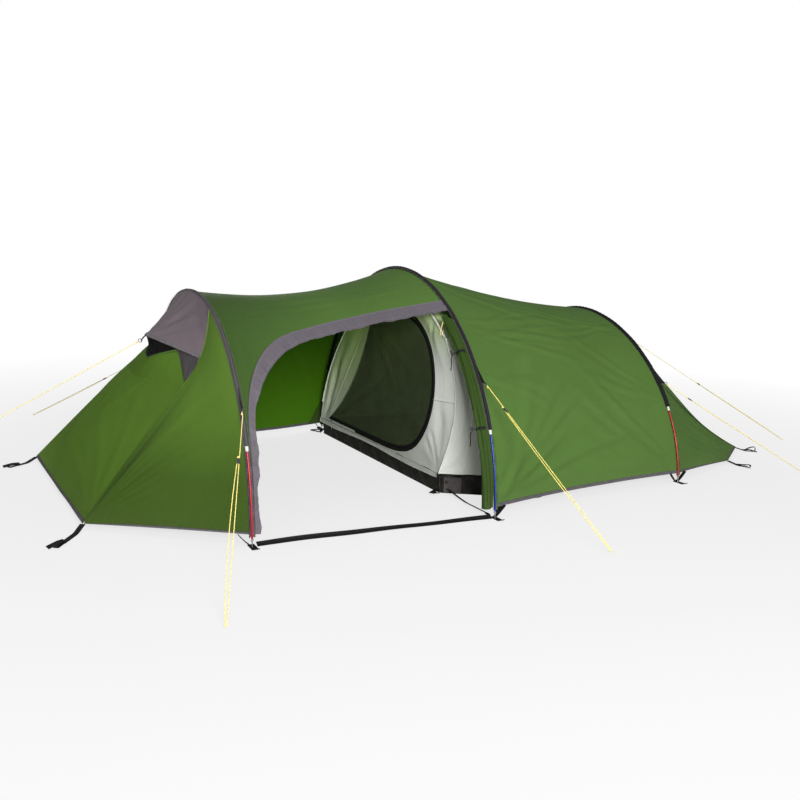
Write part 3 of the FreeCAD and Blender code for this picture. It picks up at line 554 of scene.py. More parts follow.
def hard(name, slot, colour, metal=0.0, rough=0.35, wear=0.25, wear_colour=None):
    """Plastic or metal with fine scratches and rubbed places."""
    s = material(name, slot)
    place = s.place()
    drawn_out = s.node("Mapping", Vector=place, Scale=(1.0, 1.0, 0.15)).outputs[0]
    scratch = s.noise(drawn_out, 720.0, 5.0, 0.7)
    rubbed = s.times(s.spread(s.noise(place, 30.0, 4.0, 0.6), 0.52, 0.72), wear)
    tone = s.mix(rubbed, colour, wear_colour or tuple(min(1.0, c * 2.0 + 0.05) for c in colour))
    tone = s.mix(s.spread(scratch, 0.3, 0.7, 0.0, 0.2), tone, darker(colour, 0.6))
    return s.finish(s.skin(tone, s.spread(scratch, 0.3, 0.7, rough - 0.08, rough + 0.12), Metallic=metal,
                           Normal=s.bumped((scratch, 0.15, 0.0003))))


def cord(name, slot, colour, tracer, pitch=0.006):
    """Braided cord with a darker tracer thread winding round it."""
    s = material(name, slot)
    uv = s.uv()
    turn = s.plus(s.times(uv["X"], 2 * math.pi / pitch), s.times(uv["Y"], 1.0 / 0.0015))
    wave = s.calc("SINE", turn)
    turned = s.calc("SUBTRACT", s.times(uv["X"], 2 * math.pi / 0.003), s.times(uv["Y"], 2.0 / 0.0015))
    back = s.calc("SINE", turned)
    grime = s.noise(s.place(), 9.0, 3.0)
    tone = s.mix(s.spread(grime, 0.4, 0.7, 0.0, 0.5), colour, darker(colour, 0.75))
    tone = s.mix(s.spread(wave, 0.82, 0.95), tone, tracer)
    return s.finish(s.skin(tone, 0.65, Sheen_Weight=0.3, Normal=s.bumped((s.plus(wave, back), 0.6, 0.0004))))


GREEN = (0.080, 0.158, 0.034)
GREEN_GLOW = (0.10, 0.33, 0.006)
# darker green for the nose, painted shade; the nose materials scale it with painted light and shade along an
# axis
GREEN_NOSE = (0.066, 0.128, 0.017)
# painted light: the green of light coming through the fly, used on the cloth's inner face
PAINTED_INSIDE_GREEN = (0.050, 0.145, 0.0035)
GREY = (0.094, 0.081, 0.098)


def fly(name, colour=GREEN, glow=0.24, rough=0.62, shine=0.08, **more):
    return cloth(name, "fly_green", colour, glow, GREEN_GLOW, rough, shine, **more)


def sleeve_cloth(name, slot, colour, shine=0.12):
    return cloth(name, slot, colour, glow=0.0, rough=0.65, rip=0.003, crumple=0.6, shine=shine)


FLY = fly("fly_green", inside=PAINTED_INSIDE_GREEN)
# painted shade: a copy of the fly's cloth made darker towards the front hoop
FLY_PORCH = fly("fly_green_porch", inside=PAINTED_INSIDE_GREEN, fade=("X", -1.20, -0.55, 0.55, 1.0))
# painted light and shade: the nose's sides grow lighter upwards and its front lighter towards the far side
FLY_NOSE = fly("fly_green_nose", GREEN_NOSE, 0.20, fade=("Z", 0.26, 0.84, 0.64, 1.75))
FLY_NOSE_FRONT = fly("fly_green_nose_front", GREEN_NOSE, 0.20, 0.75, 0.02,
                     fade=("Y", -0.49, 0.60, 1.20, 1.75))
# painted shade: a much darker copy of the fly's green for the rolled door and the cloth beside it
FLY_SHADED = fly("fly_green_roll", (0.026, 0.052, 0.009), 0.02, 0.65, crumple=0.7)
FLY_SEAM = tape("fly_green_seam", "fly_green", darker(GREEN, 0.80), darker(GREEN, 1.1),
                width=0.014, row=0.0035, rough=0.8, glow=0.1)
TRIM = cloth("trim_grey", "trim_grey", GREY, glow=0.05, rough=0.62, shine=0.3, rip=0.004, crumple=0.5)
HOOD = cloth("hood_grey", "trim_grey", (0.122, 0.098, 0.110), glow=0.05, rough=0.6, shine=0.3, rip=0.004,
             crumple=0.45)
TRIM_TAPE = tape("hem_grey", "trim_grey", (0.080, 0.074, 0.080), (0.14, 0.13, 0.14))
GUSSET = cloth("gusset_grey", "trim_grey", (0.036, 0.031, 0.034), glow=0.04, rough=0.6, rip=0.004)
GUSSET_TAPE = tape("gusset_tape", "trim_grey", (0.105, 0.095, 0.10), (0.20, 0.18, 0.20), width=0.012)
THREAD = cord("thread_grey", "trim_grey", (0.120, 0.108, 0.124), (0.07, 0.06, 0.07), pitch=0.0035)
SLEEVE_LOOKS = {
    "front": sleeve_cloth("sleeve_grey", "sleeve_grey", (0.062, 0.053, 0.060), 0.15),
    "centre": sleeve_cloth("sleeve_dark", "sleeve_black", (0.016, 0.014, 0.0165)),
    "rear": sleeve_cloth("sleeve_black", "sleeve_black", (0.006, 0.0064, 0.007)),
}
# painted light: the white inner cloth is tinted green on its far and high parts, for light coming through the
# flysheet
INNER = cloth("inner_white", "inner_white", (0.64, 0.65, 0.62), glow=0.30, glow_colour=(0.70, 0.80, 0.60),
              rough=0.75, shine=0.1, rip=0.005, crumple=0.6, variation=0.95, painted_green_light=(0.46, 0.66, 0.16))
INNER_SEAM = tape("inner_seam", "inner_white", (0.84, 0.85, 0.78), (0.60, 0.60, 0.55), width=0.012, glow=0.3)
TUB = cloth("tub_black", "tub_black", (0.004, 0.0042, 0.0030), glow=0.0, rough=0.5, shine=0.22, rip=0.005,
            crumple=0.4, dust=0.05)
PATCH = cloth("patch_grey", "tub_black", (0.024, 0.019, 0.020), glow=0.0, rough=0.6, rip=0.004)
WEBBING = tape("webbing_black", "webbing_black", (0.007, 0.007, 0.0085), (0.03, 0.03, 0.03), rough=0.65,
               rib=0.0022)
BIND = tape("binding_black", "net_black", (0.005, 0.0055, 0.005), (0.02, 0.02, 0.02), width=0.022)
# painted light: the black door netting is coloured olive green for light coming through the flysheet
NET = netting("net_black", "net_black", (0.056, 0.074, 0.034), 0.72)
VENT_NET = netting("vent_net_black", "net_black", (0.004, 0.004, 0.004), 0.9)
LINE = cord("line_yellow", "line_yellow", (0.86, 0.70, 0.16), (0.60, 0.46, 0.09))
ELASTIC = cord("shock_cord", "shock_cord", (0.03, 0.03, 0.03), (0.35, 0.35, 0.33))
RED = hard("pole_red", "pole_red", (0.30, 0.004, 0.010), metal=0.2, rough=0.38)
BLUE = hard("pole_blue", "pole_blue", (0.005, 0.016, 0.20), metal=0.2, rough=0.38)
ALLOY = hard("alloy", "alloy", (0.55, 0.55, 0.57), metal=1.0, rough=0.3)
BRASS = hard("brass", "brass", (0.62, 0.42, 0.14), metal=1.0, rough=0.32)
RING = hard("ring_grey", "steel", (0.12, 0.12, 0.125), metal=0.8, rough=0.4)
STEEL = hard("steel", "steel", (0.50, 0.50, 0.52), metal=1.0, rough=0.3)
CUFF = hard("cuff_white", "cuff_white", (0.48, 0.48, 0.47), rough=0.55, wear=0.15,
            wear_colour=(0.40, 0.39, 0.37))
PLASTIC = hard("plastic_black", "plastic_black", (0.018, 0.018, 0.019), rough=0.4,
               wear_colour=(0.07, 0.07, 0.07))

CAD_LOOKS = {
    "pole_front": RED, "pole_centre": BLUE, "pole_rear": RED, "pole_ferrules": ALLOY, "pole_tips": ALLOY,
    "pole_cords": ELASTIC, "sleeve_cuffs": CUFF, "foot_eyelets": BRASS, "guy_rings": RING,
    "door_toggle_low": PLASTIC, "door_toggle_high": PLASTIC, "inner_zip_slider": STEEL,
}
for cad_name, cad_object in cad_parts.items():
    look = CAD_LOOKS.get(cad_name, PLASTIC if cad_name.startswith("runner_") else None)
    if look is not None:
        cad_object.data.materials.clear()
        cad_object.data.materials.append(look)


# ---- flysheet ------------------------------------------------------------------------------------
class Surface:
    """A piece of cloth as a function of u and share, with folds on it."""

    def __init__(self, at, folds=None, outward=(0.3, 0.0, 0.1)):
        self.at, self.folds, self.middle = at, folds, np.array(outward)

    def normal(self, u, s):
        e = 1e-4
        du = self.at(clamp(u + e), s) - self.at(clamp(u - e), s)
        ds = self.at(u, clamp(s + e)) - self.at(u, clamp(s - e))
        n = np.cross(du, ds)
        n /= np.maximum(np.linalg.norm(n, axis=-1, keepdims=True), 1e-15)
        p = self.at(u, s)
        turn = np.sign(np.sum(n * (p - self.middle), axis=-1, keepdims=True))
        return n * np.where(turn == 0, 1, turn)

    def point(self, u, s, lift=0.0):
        u, s = np.broadcast_arrays(np.asarray(u, float), np.asarray(s, float))
        height = lift + (self.folds(u, s) if self.folds else 0.0)
        return self.at(u, s) + self.normal(u, s) * np.asarray(height)[..., None]


def strip_between(surface, low, high, lift=0.0004, thick=0.0030):
    """Tape laid on a surface between two lines of (u, s)."""
    t = np.linspace(0, 1, 4)
    lines = np.broadcast_arrays(low[0], low[1], high[0], high[1])
    u, s = rows_between(lines[0] * 1.0, lines[2] * 1.0, t), rows_between(lines[1] * 1.0, lines[3] * 1.0, t)
    return sheet_data(surface.point(u, s, lift), thick, centre=surface.middle)


def hem_share(a, b, above=0.0):
    low_a, low_b = share_at_height(a, HEM_Z + above), share_at_height(b, HEM_Z + above)
    return lambda u: low_a + (low_b - low_a) * u


def mirrored_folds(folds, seed):
    r = np.random.default_rng(seed)
    turned = []
    for a, b, width, height in folds:
        shift = r.uniform(-0.05, 0.05)
        far_end = (b[0] + shift, ARC - b[1] + shift)
        turned.append(((a[0], ARC - a[1]), far_end, width, height * r.uniform(0.7, 1.2)))
    return turned


def between_hoops(a, b, sag, folds, seed):
    """Cloth over two hoops with folds, puckers beside the sleeves and soft unevenness."""
    length = b["x"] - a["x"]

    def height(u, s):
        q = np.stack([u * length, s * ARC], axis=-1)
        soft = ripple(q, 0.42, 0.0035, seed)
        edge = np.exp(-u * length / 0.035) + np.exp(-(1 - u) * length / 0.035)
        pucker = 0.0011 * wave(q[..., 1], 0.043, 2 * np.sin(q[..., 1] * 9)) * edge
        hold = clamp(np.minimum(u, 1 - u) * length / 0.06)
        seams = np.exp(-np.abs(s - ROOF_FROM) * ARC / 0.02) + np.exp(-np.abs(s - ROOF_TO) * ARC / 0.02)
        pucker += 0.0008 * wave(q[..., 0], 0.037, 2 * np.sin(q[..., 0] * 11)) * seams
        return (fold_field(q, folds) + soft) * hold + pucker
    return Surface(lambda u, s: stretched(a, b, sag, u, s), height)


near_body = fans((
    ((0.02, 0.10), (0.62, 1.28), (1.30, 0.42), 9, 0.030, 0.0042, 1, 0.03),
    ((1.36, 0.10), (0.75, 0.95), (0.50, 0.16), 5, 0.028, 0.0028, 2, 0.02),
    ((1.36, 0.60), (0.80, 1.20), (0.85, 0.35), 5, 0.022, 0.0028, 3, 0.02),
    ((0.03, 0.70), (0.55, 1.20), (0.50, 0.45), 4, 0.022, 0.0026, 4, 0.02),
    ((1.37, 1.25), (0.60, 1.50), (0.70, 0.95), 6, 0.022, 0.0034, 5, 0.05),
    ((0.02, 1.50), (0.70, 1.75), (0.80, 1.15), 5, 0.028, 0.0028, 6, 0.06),
    ((0.02, 0.95), (0.75, 1.45), (0.95, 0.80), 6, 0.018, 0.0030, 7, 0.10)), 1.9)
BODY = between_hoops(CENTRE, REAR, BODY_SAG, near_body + mirrored_folds(near_body, 12), 21)

near_porch = fans((
    ((1.18, 1.42), (0.25, 1.62), (0.45, 1.34), 5, 0.030, 0.0030, 31, 0.06),
    ((0.03, 0.66), (0.10, 1.30), (0.55, 1.42), 4, 0.026, 0.0028, 32, 0.02),
    ((0.03, 1.30), (0.85, 1.75), (0.80, 1.40), 5, 0.028, 0.0032, 33, 0.05)), 0.45)
FAR_PORCH_FOLDS = (
    # from x and distance down the far side, to x and distance down, width, height
    (1.17, 0.1, 0.2, 1.2, 0.034, 0.004),
    (1.17, 0.1, 0.5, 1.5, 0.034, 0.004),
    (0.03, 0.1, 0.7, 1.3, 0.034, 0.004),
    (0.03, 0.1, 0.4, 1.5, 0.030, 0.003),
    (0.03, 0.6, 0.8, 1.0, 0.034, 0.003))
far_porch = [((x0, ARC - down0), (x1, ARC - down1), width, height)
             for x0, down0, x1, down1, width, height in FAR_PORCH_FOLDS]
PORCH = between_hoops(FRONT, CENTRE, PORCH_SAG, near_porch + far_porch, 22)


def weld(obj):
    bm = bmesh.new()
    bm.from_mesh(obj.data)
    bmesh.ops.remove_doubles(bm, verts=bm.verts, dist=2e-5)
    bm.to_mesh(obj.data)
    bm.free()


def thicken(obj):
    solid = obj.modifiers.new("cloth thickness", "SOLIDIFY")
    solid.thickness = CLOTH
    solid.offset = 0.0
    solid.use_even_offset = False


def body_sheet():
    hem = hem_share(CENTRE, REAR)
    edge = EDGE / REAR["x"]
    u, v = uv_grid(131, 231)
    u = edge + (1 - 2 * edge) * u
    s = hem(u) + (1 - 2 * hem(u)) * v
    p = BODY.point(u, s)
    uvs = np.stack([u * REAR["x"], s * ARC], -1).reshape(-1, 2)
    faces = grid_quads(*p.shape[:2]).tolist()
    obj = new_object("fly_body_sheet", p.reshape(-1, 3), faces, FLY, "tent", uvs, True,
                     ("fly_body_near", "fly_body_roof", "fly_body_far"))
    thicken(obj)


def bezier(p, q, r, t):
    p, q, r = (np.asarray(v, float) for v in (p, q, r))
    t = np.asarray(t)[:, None]
    return (1 - t) ** 2 * p + 2 * t * (1 - t) * q + t * t * r


def doorway(post, corner, head, end, foot_x):
    """Side view of the doorway's edge: post for a run of 0 to 1, round corner to 2, rising head to 3."""
    def at(run):
        run = np.asarray(run, float)
        low = lerp((foot_x, -0.050), post, clamp(run))
        turn = bezier(post, corner, head, clamp(run - 1))
        last = lerp(head, end, clamp(run - 2))
        return np.where((run < 1)[:, None], low, np.where((run < 2)[:, None], turn, last))
    return at


DOOR_INNER = doorway((-1.148, 0.480), (-1.118, 0.746), (-0.800, 0.830), (0.060, 0.990), -1.176)
DOOR_OUTER = doorway((-1.180, 0.490), (-1.155, 0.812), (-0.830, 0.872), (0.060, 1.036), -1.192)


def share_near(a, b, sag, u, z):
    """Share on the near side at which the cloth between two hoops has height z."""
    low, high = np.full_like(u, 1e-4), np.full_like(u, 0.5)
    for _ in range(40):
        mid = (low + high) / 2
        under = stretched(a, b, sag, u, mid)[..., 2] < z
        low, high = np.where(under, mid, low), np.where(under, high, mid)
    return high


def on_porch(xz):
    """(u, share) of a place on the porch's near side, from its x and z."""
    u = clamp((xz[:, 0] - FRONT["x"]) / PORCH_LENGTH)
    return u, share_near(FRONT, CENTRE, PORCH_SAG, u, xz[:, 1])


def resample(line, shares):
    d = run_along(line)
    d /= d[-1]
    return np.stack([np.interp(shares, d, line[:, k]) for k in range(line.shape[1])], -1)


def porch_sheet():
    edge = EDGE / PORCH_LENGTH
    columns = edge + (1 - 2 * edge) * np.linspace(0, 1, 121)
    hem = hem_share(FRONT, CENTRE)
    rows = np.linspace(0, 1, 191)
    u, v = np.meshgrid(columns, rows, indexing="ij")
    s = ROOF_FROM + (1 - hem(u) - ROOF_FROM) * v
    p = PORCH.point(u, s)
    # The near part runs from the doorway's outer line up to the front hoop's edge and the roof line.
    line = DOOR_OUTER(np.linspace(0.3, 3, 900))
    line = line[(line[:, 0] >= FRONT["x"] + EDGE) & (line[:, 0] <= -EDGE)]
    low_u, low_s = on_porch(line)
    low = np.stack([low_u, low_s], -1)
    climb = 40
    side = np.stack([np.full(climb, edge), np.linspace(low_s[0], ROOF_FROM, climb, endpoint=False)], -1)
    top = np.concatenate([side, np.stack([columns, np.full(len(columns), ROOF_FROM)], -1)])
    shares = np.concatenate([np.linspace(0, 0.34, climb, endpoint=False), np.linspace(0.34, 1, len(columns))])
    size = np.array([PORCH_LENGTH, ARC])
    grid = rows_between(resample(low * size, shares) / size, top, np.linspace(0, 1, 31))
    q = PORCH.point(grid[..., 0], grid[..., 1])
    verts = np.concatenate([p.reshape(-1, 3), q.reshape(-1, 3)])
    uvs = np.concatenate([(np.stack([u, s], -1) * size).reshape(-1, 2), (grid * size).reshape(-1, 2)])
    faces = grid_quads(*p.shape[:2]).tolist() + grid_quads(*q.shape[:2], p.shape[0] * p.shape[1]).tolist()
    obj = new_object("fly_porch_sheet", verts, faces, FLY_PORCH, "tent", uvs, True,
                     ("fly_porch_near", "fly_porch_roof", "fly_porch_far"))
    weld(obj)
    thicken(obj)


def trim_band():
    run = np.concatenate([np.linspace(0.19, 1, 70, endpoint=False), np.linspace(1, 2, 90, endpoint=False),
                          np.linspace(2, 2.925, 110)])
    outer, inner = DOOR_OUTER(run), DOOR_INNER(run)
    outer[:, 0] = np.clip(outer[:, 0], FRONT["x"] + 0.013, -EDGE)
    inner[:, 0] = np.minimum(inner[:, 0], -EDGE)
    ou, os_ = on_porch(outer)
    iu, is_ = on_porch(inner)
    t = np.linspace(0, 1, 13)
    u, s = rows_between(ou, iu, t), rows_between(os_, is_, t)
    length = run_along(inner)[:, None]
    flutter = 0.0030 * wave(length, 0.19) + 0.0022 * wave(length, 0.083, 1.0)
    flutter += 0.0014 * wave(length, 0.031, 2.0)
    p = PORCH.point(u, s) + PORCH.normal(u, s) * (0.0013 + flutter * t[None, :] ** 1.5)[..., None]
    # the free edge hangs a little unevenly
    p[..., 2] += 0.0016 * wave(length, 0.27, 0.5) * t[None, :] ** 2 * clamp(length / 0.4)
    low_wave = clamp(1 - length / 0.7) ** 0.5 * t[None, :] ** 2
    p[..., 0] += (0.007 * wave(length, 0.31, 1.2) + 0.003 * wave(length, 0.11)) * low_wave
    parts = [sheet_data(p, 0.0016, centre=PORCH.middle)]
    edge_line = p[:, -1]
    n = PORCH.normal(u[:, -1:], s[:, -1:])[:, 0]
    parts.append(tube_data(edge_line - n * 0.0006, 0.0021, 8))
    joined("doorway_trim", parts, TRIM, "fly_doorway_trim")
    # two rows of stitches along both edges, as thin raised threads
    rows = []
    for where in (0.07, 0.14, 0.84, 0.91):
        k = where * (len(t) - 1)
        i = int(k)
        threads = p[:, i] * (1 - (k - i)) + p[:, min(i + 1, len(t) - 1)] * (k - i)
        rows.append(tube_data(threads + n * 0.0011, 0.0005, 4))
    joined("doorway_stitching", rows, THREAD)


def side_hems():
    """Tapes along the lower edges of the cloth between the hoops; the porch's near side has none."""
    for surface, a, b, flips in ((PORCH, FRONT, CENTRE, (True,)), (BODY, CENTRE, REAR, (False, True))):
        edge = EDGE / (b["x"] - a["x"])
        u = edge + (1 - 2 * edge) * np.linspace(0, 1, 161)
        low, high = hem_share(a, b, -0.001)(u), hem_share(a, b, 0.017)(u)
        for flip in flips:
            s0, s1 = (1 - low, 1 - high) if flip else (low, high)
            SIDE_HEMS.append(strip_between(surface, (u, s0), (u, s1), thick=0.0032))


# ---- nose ----------------------------------------------------------------------------------------
near_top = hoop_point(FRONT, NOSE_SEAM_S) - EDGE_STEP
seam_curve = natural_spline(np.concatenate([[NOSE_NEAR], NOSE_SEAM, [near_top]]))


def nose_seam(side):
    if side < 0:
        return seam_curve

    def far_side(t):
        bend = seam_curve(t) - lerp(NOSE_NEAR, near_top, t)
        return lerp(NOSE_FAR, flip_y(near_top), t) + flip_y(bend)
    return far_side


def nose_side(side):
    seam = nose_seam(side)
    corner = NOSE_NEAR if side < 0 else NOSE_FAR
    low = share_at_height(FRONT, HEM_Z)
    top = near_top if side < 0 else flip_y(near_top)

    def at(u, v):
        share = low + (NOSE_SEAM_S - low) * v
        rim = hoop_point(FRONT, share if side < 0 else 1 - share) - EDGE_STEP
        t = 0.012 + 0.988 * u
        bend = (seam(t) - lerp(corner, top, t)) * (v ** 2)[..., None]
        pull = -side * 0.024 * sag_curve(t) * hump(0.1 + 0.8 * v)
        flat = lerp(corner, rim, t)
        return flat + bend + arr(0, pull, 0)
    return at


def sill(v):
    side = np.abs(2 * v - 1)
    near = lerp(SILL_MID, SILL_END, side * side)
    rise = np.sqrt(side ** 2 + 0.01) / math.sqrt(1.01)
    return arr(near[..., 0], SILL_END[1] * (1 - 2 * v), SILL_MID[2] + (SILL_END[2] - SILL_MID[2]) * rise)


def nose_front(u, v):
    knee = 0.80

    def edge(side):
        seam = nose_seam(side)
        end = SILL_END if side < 0 else flip_y(SILL_END)
        low = seam(GUSSET_FOOT_T * np.minimum(u, knee) / knee)
        foot = seam(np.array(GUSSET_FOOT_T))
        high = foot + (end - foot) * ((u - knee) / (1 - knee))[..., None]
        return np.where((u < knee)[..., None], low, high)
    near, away = edge(-1), edge(1)
    arch = 1 - (2 * v - 1) ** 2
    out = 0.070 * sag_curve(u) + 0.100 * u
    drop = (SILL_END[2] - SILL_MID[2]) * u ** 4
    flat = lerp(near, away, v)
    dip = 1 - np.sqrt((2 * v - 1) ** 2 + 0.01) / math.sqrt(1.01)
    return flat - arr(out * arch, 0 * u, drop * (arch + (dip - arch) * u))


def rays(count, low, high, width, height, seed, start=0.06, end=0.95):
    """Folds that run along u at places spread over v."""
    r = np.random.default_rng(seed)
    lines = []
    for k in range(count):
        lines.append((low + (high - low) * (k + r.uniform(0.2, 0.8)) / count, width * r.uniform(0.6, 1.4),
                      height * r.uniform(0.4, 1.1), r.uniform(-0.05, 0.05), r.uniform(0.6, 1.0)))

    def at(u, v):
        total = np.zeros_like(u)
        for place, w, h, drift, reach in lines:
            x = (v - place - drift * u) / w
            window = clamp((u - start) / 0.25) * clamp((end * reach - u) / 0.3)
            total += h * (np.exp(-x ** 2) - 0.4 * np.exp(-(x - 1.6) ** 2)) * window
        return total
    return at


def nose():
    for side, name, cad in ((-1, "nose_near_sheet", "fly_nose_near"), (1, "nose_far_sheet", "fly_nose_far")):
        folds = rays(9, 0.03, 0.75, 0.028, 0.0034, 40 + side)
        wide = rays(4, 0.10, 0.90, 0.090, 0.0060, 44 + side)
        extra = rays(4, 0.5, 1.0, 0.025, 0.0015, 48 + side, 0.3, 1.1)

        def height(u, v):
            return (folds(u, v) + wide(u, v) + extra(u, v)) * clamp((1 - v) / 0.06) * clamp(v / 0.05)
        surface = Surface(nose_side(side), height, (-1.2, 0.1, 0.1))
        u, v = uv_grid(101, 91)
        sheet(name, surface.point(u, v), FLY_NOSE, cad, centre=surface.middle)
        t = np.linspace(0, 1, 90)
        SEAMS["hems"].append(strip_between(surface, (t, 0), (t, 0.008 + 0.030 * (1 - t) ** 2)))
    front_folds = [((-0.49, 0.05), (0.10, 0.62), 0.035, 0.008), ((-0.49, 0.05), (-0.15, 0.85), 0.030, 0.007),
                   ((-0.49, 0.05), (0.45, 0.35), 0.035, 0.006), ((0.86, 0.05), (0.20, 0.65), 0.040, 0.008),
                   ((0.86, 0.05), (0.0, 0.40), 0.035, 0.007), ((-0.25, 1.0), (0.1, 0.45), 0.03, 0.006),
                   ((0.25, 1.0), (0.15, 0.4), 0.03, 0.006), ((0.0, 1.0), (0.25, 0.3), 0.03, 0.004),
                   ((-0.47, 0.55), (0.2, 0.8), 0.025, 0.004), ((0.75, 0.3), (-0.1, 0.2), 0.035, 0.005)]

    def front_height(u, v):
        p = nose_front(u, v)
        q = np.stack([p[..., 1], u], -1)
        hold = clamp(np.minimum(v, 1 - v) / 0.05) * clamp((1 - u) / 0.05)
        return (0.22 * fold_field(q, front_folds) + ripple(q, 0.5, 0.004, 5)) * hold
    surface = Surface(nose_front, front_height, (-1.2, 0.1, 0.2))
    u, v = uv_grid(111, 101)
    sheet("nose_front_sheet", surface.point(u, v), FLY_NOSE_FRONT, "fly_nose_front", centre=surface.middle)
    t = np.linspace(0.0, 1.0, 120)
    SEAMS["hems"].append(strip_between(surface, (0, t), (0.019, t)))
    SEAMS["sill"].append(strip_between(surface, (0.986, t), (1.0, t), lift=0.0002, thick=0.0022))
    # seam tapes up both sides of the nose
    for side in (-1, 1):
        line = nose_seam(side)(np.linspace(0.012, 1.0, 160))
        out = unit([-0.7, side * 0.7, 0.5])
        across = np.cross(np.gradient(line, axis=0), out)
        SEAMS["nose"].append(ribbon_data(line + out * 0.0008, across, 0.005, 0.0010))


def lip(y):
    side = np.abs(y / GUSSET_SIDE[1])
    return arr(HOOD_TIP[0] + (GUSSET_SIDE[0] - HOOD_TIP[0]) * side ** 1.25, y,
               HOOD_TIP[2] + (GUSSET_SIDE[2] - HOOD_TIP[2]) * side ** 1.3)


def hood_at(u, v):
    rim = hoop_point(FRONT, NOSE_SEAM_S + (1 - 2 * NOSE_SEAM_S) * v) - EDGE_STEP
    edge = lip(GUSSET_SIDE[1] * (1 - 2 * v))
    cloth_at = lerp(rim, edge, u) - arr(0, 0, 0.008 * sag_curve(u))
    # the side edges lie on the nose seams, and the far seam stands further out
    for side, share, nearness in ((-1, NOSE_SEAM_S, 1 - v), (1, 1 - NOSE_SEAM_S, v)):
        corner = hoop_point(FRONT, share) - EDGE_STEP
        straight = corner + (lip(np.array(side * abs(GUSSET_SIDE[1]))) - corner) * u[..., None]
        pull = clamp((nearness - 0.5) / 0.5) ** 2
        cloth_at = cloth_at + (nose_seam(side)(1 - (1 - GUSSET_SIDE_T) * u) - straight) * pull[..., None]
    return cloth_at


def hood():
    folds = [((1.02, 0.50), (0.05, 0.30), 0.040, 0.0060), ((1.02, 0.50), (0.02, 0.42), 0.030, 0.0045),
             ((1.02, 0.50), (0.05, 0.60), 0.035, 0.0050), ((1.02, 0.50), (0.10, 0.78), 0.040, 0.0055),
             ((1.02, 0.50), (0.30, 0.16), 0.040, 0.0050)]

    def height(u, v):
        q = np.stack([u, v], -1)
        hold = clamp(u / 0.10) * clamp(np.minimum(v, 1 - v) / 0.04)
        return (1.7 * fold_field(q, folds) + ripple(q, 0.35, 0.0020, 8)) * hold
    surface = Surface(hood_at, height, (-1.2, 0.0, 0.3))
    u, v = uv_grid(71, 121)
    sheet("vent_hood_sheet", surface.point(u, v), HOOD, "vent_hood", centre=surface.middle, thick=0.0018)
    t = np.linspace(0, 1, 140)
    strip = strip_between(surface, (1, t), (1 - 0.012 / 0.22, t), lift=0.0002, thick=0.0038)
    bead = tube_data(surface.point(np.ones_like(t), t), 0.0024, 8)
    joined("hood_hem", [strip, bead], GUSSET_TAPE)

    def net(u, v):
        low = sill(v)
        high = lip(low[..., 1]) + np.array([0.005, 0, -0.002])
        base = low + arr(0.0015 - 0.0060 * hump(v), 0, 0.001)
        flat = lerp(base, high, u)
        return flat + arr(0.010 * hump(u) * hump(v), 0 * u, 0)
    u, v = uv_grid(21, 61)
    sheet("vent_netting", net(u, 0.005 + 0.99 * v), VENT_NET, "vent_net", centre=(-1.2, 0, 0.7),
          thick=0.0006)
    patches = []
    for side in (-1, 1):
        seam = nose_seam(side)
        c = SILL_END if side < 0 else flip_y(SILL_END)
        n = 31
        w, v = uv_grid(n, n)
        w = 0.02 + 0.98 * w
        left = seam(GUSSET_FOOT_T + (GUSSET_SIDE_T - GUSSET_FOOT_T) * w)
        a, b = seam(np.array(GUSSET_FOOT_T)), seam(np.array(GUSSET_SIDE_T))
        right = lerp(a, c, w)
        ys = b[1] + (c[1] - b[1]) * v
        top = lip(ys) + arr(0.010 * v + 0.003, 0 * v, -0.006 * v - 0.002)
        top = top + (b - top[:, :1]) * (1 - v)[..., None] ** 2
        flat = lerp(left, right, v)
        straight = lerp(b, c, v)
        bend = (top - straight) * (w ** 2)[..., None]
        out = np.array([-0.5, side * 0.6, 0.1])
        belly = 0.010 * hump(w) * hump(v)
        crease = 0.003 * np.sin(math.pi * v * 3 + w * 2) * hump(w)
        p = flat + bend + out * (belly + crease)[..., None]
        patches.append(sheet_data(p, 0.0014, centre=(-1.2, 0, 0.6)))
    joined("vent_gusset_cloth", patches, GUSSET, "vent_gussets")


